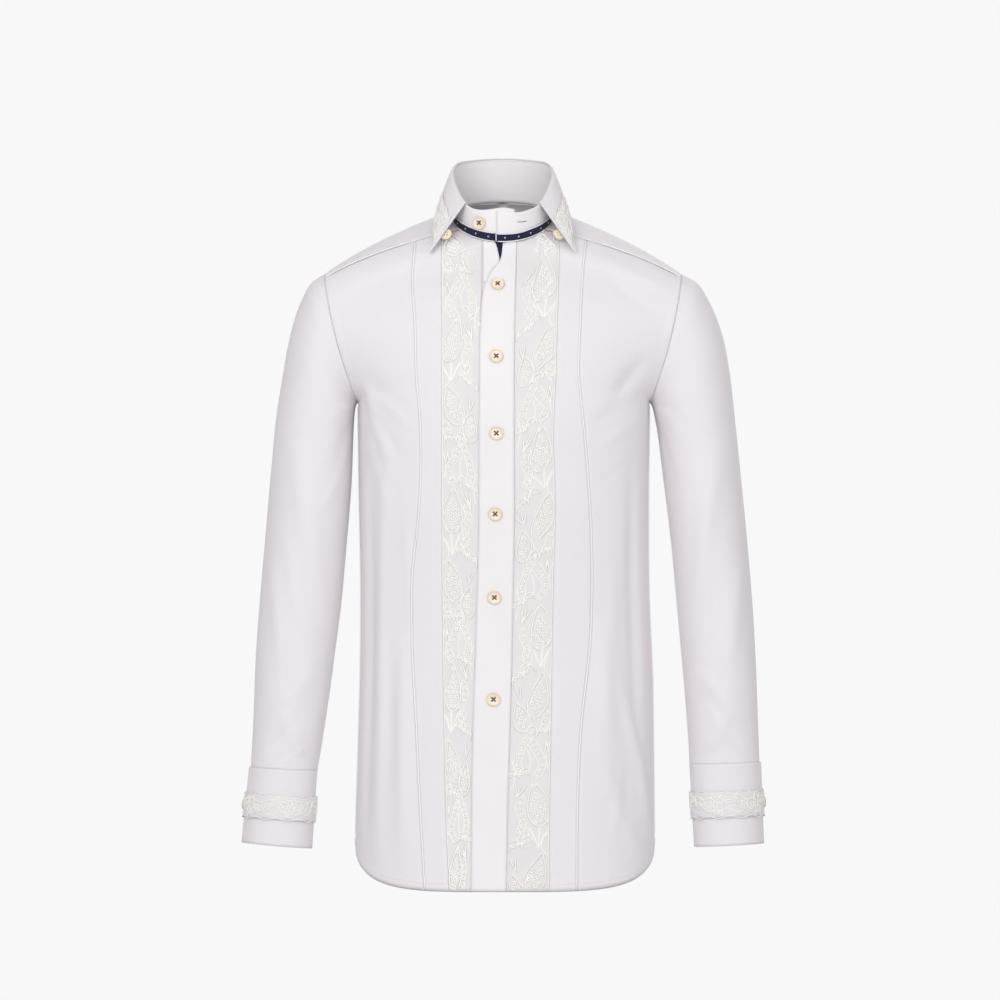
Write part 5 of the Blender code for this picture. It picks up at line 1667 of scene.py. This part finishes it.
def make_sleeve_sewing(name, side):
    """The sleeve's seam and hem stitches, and its placket's."""
    cords = Cords(lambda share, angle: sleeve_points(side, share, angle), sleeve_axis(side), SLEEVE_STEPS)
    around = np.linspace(0, 355, 100)
    cords.add_stitches(path_of(SLEEVE_HEAD_STITCH, around))
    down = np.linspace(0.01, 0.99, 240)
    for angle in SLEEVE_SEAM_STITCHES:
        cords.add_stitches(path_of(down, angle))
    cords.build(f"sleeve_stitches_{name}", "white_thread")

    def strip_surface(share, angle):
        return sleeve_points(side, share, angle, SLEEVE_PLACKET_LIFT)

    strip = Cords(strip_surface, sleeve_axis(side), SLEEVE_STEPS)
    for edge in (-SLEEVE_PLACKET_HALF + 2, SLEEVE_PLACKET_HALF - 2):
        down = np.linspace(SLEEVE_PLACKET_TOP + 0.008, 0.99, 60)
        strip.add_stitches(path_of(down, SLEEVE_PLACKET_ANGLE + edge))
    strip.build(f"sleeve_placket_stitches_{name}", "white_thread")


def make_cuff_sewing(name, side):
    """The cuff's stitching, and the cords and scalloped edges of its lace."""
    cords = Cords(lambda around, share: cuff_points(side, share, around), sleeve_axis(side), EDGE_STEPS)
    around = np.linspace(CUFF_UNDER_END + 30, CUFF_OVER_END + 357, 160)
    for share in CUFF_STITCH_SHARES:
        cords.add_stitches(path_of(around, share))
    down = np.linspace(0.03, 0.97, 40)
    cords.add_stitches(path_of(CUFF_OVER_END + 360 - 3, down))
    cords.build(f"cuff_stitches_{name}", "white_thread")

    def lace_surface(around, up):
        share = CUFF_LACE_FOOT - up / CUFF_LENGTH
        return cuff_points(side, share, around / CUFF_ROUND, LAYER)

    lace = Cords(lace_surface, sleeve_axis(side), scale=CUFF_CORD_SCALE)
    start, end = (CUFF_OVER_END + 8) * CUFF_ROUND, (CUFF_OVER_END + 356) * CUFF_ROUND
    height = (CUFF_LACE_FOOT - CUFF_LACE_TOP) * CUFF_LENGTH
    shake = np.random.default_rng(MOTIF_SEED + 10 + side)

    def inside(around, up):
        return (around > start) & (around < end) & (up > 0.5) & (up < height - 0.5)

    for repeat in range(int((end - start) / CUFF_PERIOD) + 2):
        first = start + (repeat - 0.5) * CUFF_PERIOD
        embroider(
            lace, CUFF_MOTIFS, CUFF_VINES, lambda path, first=first: path + (first, 0.0), inside, shake
        )
    around = np.arange(start, end, CUFF_WAVE_STEP)
    for share, above, depth, phase, size in CUFF_WAVES:
        middle = height * share + above
        wave = middle + depth * np.sin(around * 2 * math.pi / (CUFF_PERIOD / 2) + phase)
        lace.add(path_of(around, wave), size)
    lace.build(f"cuff_lace_cords_{name}", "cord")


def make_collar_sewing():
    """The leaf's rolls, stitches and lace cords, the stand's stitches and slit, the tapes' edges and dots."""
    leaf = Cords(leaf_points, collar_axis, EDGE_STEPS)
    angles = np.linspace(-LEAF_START - 3, LEAF_START - 357, 160)
    leaf.add_stitches(path_of(angles, LEAF_STITCH_SHARE))
    for side in (-1, 1):
        shares = np.linspace(LEAF_ROLL_END + 0.04, 0.99, 40)
        leaf.add_stitches(path_of(side * (LEAF_START + LEAF_EDGE_STITCH), shares))
    leaf.build("collar_stitches", "white_thread")
    rolls = Cords(leaf_points, collar_axis, EDGE_STEPS)
    for side in (-1, 1):
        shares = np.linspace(0.06, 1.0, 50)
        rolls.add(path_of(side * (LEAF_START + EDGE_ROLL_PLACE), shares), EDGE_ROLL)
    angles = np.linspace(-LEAF_START, LEAF_START - 360, 200)
    rolls.add(path_of(angles, FOOT_ROLL_SHARE), FOOT_ROLL)
    rolls.build("collar_edge_rolls", "white_thread")
    fold = Cords(lambda angle, share: stand_points(angle, share, -BAND_SHELL), collar_axis, STAND_STEPS)
    fold.add(path_of(angles, 1.0), FOLD_ROLL)
    fold.build("collar_fold_roll", "white_thread")
    for name, side in (("right", -1), ("left", 1)):

        def lace_surface(across, up):
            angle = side * (LEAF_START + 1 + across / LEAF_ROUND)
            return leaf_points(angle, LEAF_LACE_TO - up / LEAF_LENGTH, LAYER)

        def inside(across, up):
            return (across > 1.5) & (across < LEAF_LACE_WIDTH) & (up > 0.5) & (up < LEAF_LACE_HEIGHT)

        lace = Cords(lace_surface, collar_axis, scale=COLLAR_CORD_SCALE)
        shake = np.random.default_rng(MOTIF_SEED + 20 + side)
        embroider(lace, COLLAR_MOTIFS, COLLAR_VINES, lambda path: path, inside, shake)
        up = np.linspace(1, LEAF_LACE_HEIGHT - 1, 24)
        for across in (2.0, LEAF_LACE_WIDTH * 0.35, LEAF_LACE_WIDTH * 0.65, LEAF_LACE_WIDTH - 1):
            lace.add(path_of(across + 1.2 * np.sin(up / 3.0 + across), up), FINE_CORD)
        lace.build(f"collar_lace_cords_{name}", "cord")
    stand = Cords(stand_points, collar_axis, STAND_STEPS)
    angles = np.linspace(STAND_OVER_END - 4, STAND_OVER_END - 356, 200)
    stand.add_stitches(path_of(angles, STAND_STITCH_SHARE))
    shares = np.linspace(0.34, 0.9, 16)
    stand.add_stitches(path_of(STAND_OVER_END - 361 + 2, shares))
    stand.build("stand_stitches", "white_thread")
    slit = Cords(stand_points, collar_axis, STAND_STEPS)
    start, end, share = STAND_SLIT
    slit.add(span((start, share), (end, share + SLIT_RISE), 8), SLIT_CORD)
    slit.build("stand_buttonhole", "brown_thread")

    def tape_surface(angle, lift):
        return stand_points(angle, lift / STAND_HEIGHT(around_from_front(angle)), LAYER)

    edge = Cords(tape_surface, collar_axis)
    angles = np.linspace(STAND_OVER_END - 2.5, STAND_OVER_END - 359.5, 200)
    for lift in (0.0, TAPE_HEIGHT):
        edge.add(path_of(angles, lift), TAPE_EDGE)
    edge.build("neck_tape_edges", "white_thread")
    dots = Cords(tape_surface, collar_axis)
    around = np.arange(STAND_OVER_END - 10, STAND_OVER_END - 352, -TAPE_DOT_TURN)
    places = path_of(around, TAPE_HEIGHT / 2)
    dots.add_rings(places, np.full(len(places), TAPE_DOT), (TAPE_DOT, TAPE_DOT_HEIGHT))
    dots.build("neck_tape_dots", "dot_thread")
    band = Cords(front_surface(), body_axis)
    heights = np.arange(NECK_FRONT - BAND_TAPE_LENGTH, NECK_FRONT - 1, 2.0)
    band.add(path_of(BAND_FREE(heights) - TAPE_EDGE_INSET, heights), TAPE_EDGE)
    band.build("band_tape_edge", "white_thread")


def button_mesh():
    """One four-hole button, turned from its profile and drilled, lying on its back at the origin."""
    radius = BUTTON_DIAMETER / 2
    profile = (
        (0.0, BUTTON_THICKNESS - BUTTON_DISH),
        (radius - RIM_WIDTH - 1.2, BUTTON_THICKNESS - BUTTON_DISH),
        (radius - RIM_WIDTH - 0.5, BUTTON_THICKNESS - BUTTON_DISH * 0.7),
        (radius - RIM_WIDTH, BUTTON_THICKNESS),
        (radius - RIM_WIDTH * 0.5, BUTTON_THICKNESS + 0.1),
        (radius - 0.25, BUTTON_THICKNESS - 0.35),
        (radius, BUTTON_THICKNESS - 1.0),
        (radius - 0.5, 0.4),
        (radius - 1.2, 0.0),
        (0.0, 0.0),
    )
    outline = bmesh.new()
    points = [outline.verts.new((x * MM, 0.0, z * MM)) for x, z in profile]
    for one, other in zip(points, points[1:]):
        outline.edges.new((one, other))
    data = bpy.data.meshes.new("button_profile")
    outline.to_mesh(data)
    outline.free()
    turned_button = bpy.data.objects.new("button_turned", data)
    bpy.context.scene.collection.objects.link(turned_button)
    screw = turned_button.modifiers.new("turn", "SCREW")
    screw.steps = screw.render_steps = 40
    screw.use_merge_vertices = True
    screw.merge_threshold = 0.00001
    drill = bmesh.new()
    for across, up in ((1, 1), (1, -1), (-1, 1), (-1, -1)):
        place = Vector((across, up, 0)) * BUTTON_HOLE_SPACING / 2 * MM
        bmesh.ops.create_cone(
            drill,
            cap_ends=True,
            segments=12,
            radius1=BUTTON_HOLE / 2 * MM,
            radius2=BUTTON_HOLE / 2 * MM,
            depth=4 * BUTTON_THICKNESS * MM,
            matrix=Matrix.Translation(place),
        )
    drill_data = bpy.data.meshes.new("button_drill")
    drill.to_mesh(drill_data)
    drill.free()
    cutter = bpy.data.objects.new("button_drill", drill_data)
    bpy.context.scene.collection.objects.link(cutter)
    holes = turned_button.modifiers.new("holes", "BOOLEAN")
    holes.object = cutter
    bpy.context.view_layer.update()
    finished = bpy.data.meshes.new_from_object(
        turned_button.evaluated_get(bpy.context.evaluated_depsgraph_get())
    )
    finished.name = "fine_button"
    bpy.data.objects.remove(turned_button)
    bpy.data.objects.remove(cutter)
    layer = finished.uv_layers.new(name="cloth")
    for loop in finished.loops:
        place = finished.vertices[loop.vertex_index].co
        turn = math.atan2(place.y, place.x) / (2 * math.pi)
        layer.data[loop.index].uv = (place.xy.length / (radius * MM), turn)
    finished.materials.clear()
    finished.materials.append(MATERIALS["button"])
    finished.shade_smooth()
    finished.set_sharp_from_angle(angle=math.radians(40))
    return finished


def make_button(node, mesh, point, normal, threads, scale=1.0):
    """A button in place, and the crossed threads through its holes."""
    outward = Vector(normal).normalized()
    turn = outward.to_track_quat("Z", "Y").to_matrix().to_4x4()
    seat = Matrix.Translation((Vector(point) + outward * BUTTON_SEAT) * MM)
    thing = bpy.data.objects.new(f"{node}_pearl", mesh)
    thing.matrix_world = seat @ turn @ Matrix.Scale(scale, 4)
    bpy.data.collections[COLLECTION].objects.link(thing)
    stand_for(thing, node)
    reach = BUTTON_HOLE_SPACING / 2 * scale
    top = (BUTTON_THICKNESS - BUTTON_DISH) * scale + BUTTON_SEAT
    for sign in (-1, 1):
        path = span((-reach * sign, -reach), (reach * sign, reach), 9)
        shares = np.linspace(-1, 1, 9)
        lifts = top + THREAD_BOW * (1 - shares**2) - THREAD_SINK * shares**6
        threads.append((Vector(point), turn.to_3x3(), path, lifts + THREAD_OVER * (sign > 0)))


def make_button_threads(threads):
    """All the crossed threads, joined into one piece."""
    points, faces, maps = [], [], []
    section = np.array(CORD_SECTION)
    count = 0
    for origin, turn, path, lifts in threads:
        ahead = unit(path[-1:] - path[:1])[0]
        aside = np.array([-ahead[1], ahead[0]])
        flat = path[:, None, :] + aside * section[None, :, :1] * BUTTON_THREAD
        upward = lifts[:, None] + section[None, :, 1] * BUTTON_THREAD * 0.7
        local = np.concatenate([flat, upward[..., None]], axis=-1).reshape(-1, 3)
        points.append(local @ np.array(turn).T + np.array(origin))
        faces.append(grid_faces(len(path), len(section), False, False, count))
        maps.append(local[:, :2] * MM)
        count += len(local)
    joined = [np.concatenate(arrays) for arrays in (points, faces, maps)]
    trim(mesh_from_arrays("button_threads", *joined, "brown_thread"))


def outward_at(surface, centre, first, second, steps):
    """A point of a surface and the direction out of it."""
    places = np.array([first], float), np.array([second], float)
    point, normal = with_normals(surface, centre, *places, steps)
    return point[0], normal[0]


def make_buttons():
    """Every button of the shirt."""
    mesh = button_mesh()
    threads = []
    for number, (x, height) in enumerate(PLACKET_BUTTONS, start=1):
        point, normal = outward_at(front_surface(LAYER), body_axis, x, height, (2.0, 2.0))
        make_button(f"placket_button_{number}", mesh, point, normal, threads)
    place = COLLAR_BUTTON_ANGLE, COLLAR_BUTTON_SHARE
    point, normal = outward_at(stand_points, collar_axis, *place, (2.0, 0.05))
    make_button("collar_button", mesh, point, normal, threads)
    for name, side in (("right", -1), ("left", 1)):
        angle = side * POINT_BUTTON_ANGLE
        point, normal = outward_at(leaf_points, collar_axis, angle, POINT_BUTTON_SHARE, (0.5, 0.05))
        along = leaf_points(angle + side * 8.0, POINT_BUTTON_SHARE) - point
        point = point - unit(along) * POINT_BUTTON_AHEAD - normal * (1.0 + POINT_BUTTON_GAP)
        make_button(f"collar_point_button_{name}", mesh, point, -normal, threads, SMALL_BUTTON_SCALE)
        surface = lambda around, share: cuff_points(side, share, around, LAYER)
        point, normal = outward_at(surface, sleeve_axis(side), CUFF_BUTTON_ANGLE + 360, 0.5, (2.0, 0.1))
        make_button(f"cuff_button_{name}", mesh, point, normal, threads, SMALL_BUTTON_SCALE)
    make_button_threads(threads)


def make_sewing():
    """All the lace cords, stitches and buttons."""
    make_lace_strip("right", -1)
    make_lace_strip("left", 1)
    make_front_sewing()
    make_seam_sewing()
    for name, side in (("right", -1), ("left", 1)):
        make_sleeve_sewing(name, side)
        make_cuff_sewing(name, side)
    make_collar_sewing()
    make_buttons()


def add_area_light(name, place, target, size, power):
    """A soft light that points at a place."""
    lamp = bpy.data.lights.new(name, "AREA")
    lamp.shape = "SQUARE"
    lamp.size = size
    lamp.energy = power
    thing = bpy.data.objects.new(name, lamp)
    thing.location = place
    thing.rotation_euler = (Vector(target) - Vector(place)).to_track_quat("-Z", "Y").to_euler()
    bpy.context.scene.collection.objects.link(thing)


def make_studio():
    """A pale floor that curves up into a round room, soft lights, and the camera."""
    material = bpy.data.materials.new("backdrop_white")
    material.use_nodes = True
    nodes, links = material.node_tree.nodes, material.node_tree.links
    nodes.remove(nodes["Principled BSDF"])
    glow = nodes.new("ShaderNodeEmission")
    glow.inputs["Color"].default_value = (*BACKDROP, 1.0)
    links.new(glow.outputs["Emission"], nodes["Material Output"].inputs["Surface"])
    bend = np.radians(np.linspace(0, 90, 9))
    wall = np.radians(np.linspace(0, 88, 12))
    profile = [(0.01, FLOOR_HEIGHT), (ROOM_RADIUS / 2, FLOOR_HEIGHT)]
    heights = FLOOR_HEIGHT + ROOM_BEND * (1 - np.cos(bend))
    profile += zip(ROOM_RADIUS - ROOM_BEND * (1 - np.sin(bend)), heights)
    heights = FLOOR_HEIGHT + ROOM_BEND + ROOM_RADIUS * np.sin(wall[1:])
    profile += zip(ROOM_RADIUS * np.cos(wall[1:]), heights)
    profile = np.array(profile)
    turns = np.radians(np.linspace(0, 360, ROOM_SIDES, endpoint=False))
    reach = profile[:, :1]
    rings = points_of(reach * np.cos(turns), reach * np.sin(turns), profile[:, 1:] + 0 * turns) / MM
    floor = mesh_from_arrays(
        "floor",
        rings.reshape(-1, 3),
        grid_faces(len(profile), ROOM_SIDES, True, True),
        rings.reshape(-1, 3)[:, :2] * MM,
        "cotton",
    )
    floor.visible_diffuse = False
    floor.visible_glossy = False
    floor.visible_transmission = False
    floor.visible_shadow = False
    floor.data.materials.clear()
    floor.data.materials.append(material)
    for name, place, target, size, power in LIGHTS:
        add_area_light(name, place, target, size, power)
    world = bpy.data.worlds.new("soft_room")
    world.use_nodes = True
    world.node_tree.nodes["Background"].inputs["Color"].default_value = (1.0, 1.0, 1.0, 1.0)
    world.node_tree.nodes["Background"].inputs["Strength"].default_value = ROOM_LIGHT
    bpy.context.scene.world = world
    lens = bpy.data.cameras.new("camera")
    lens.sensor_width = SENSOR_WIDTH
    lens.lens = CAMERA_LENS
    lens.clip_end = 50.0
    camera = bpy.data.objects.new("camera", lens)
    camera.location = CAMERA_PLACE
    camera.rotation_euler = (math.pi / 2, 0.0, 0.0)
    bpy.context.scene.collection.objects.link(camera)
    bpy.context.scene.camera = camera
    bpy.context.scene.view_settings.view_transform = "Standard"


bpy.context.scene.collection.children.link(bpy.data.collections.new(COLLECTION))
make_cloth()
make_sewing()
make_studio()
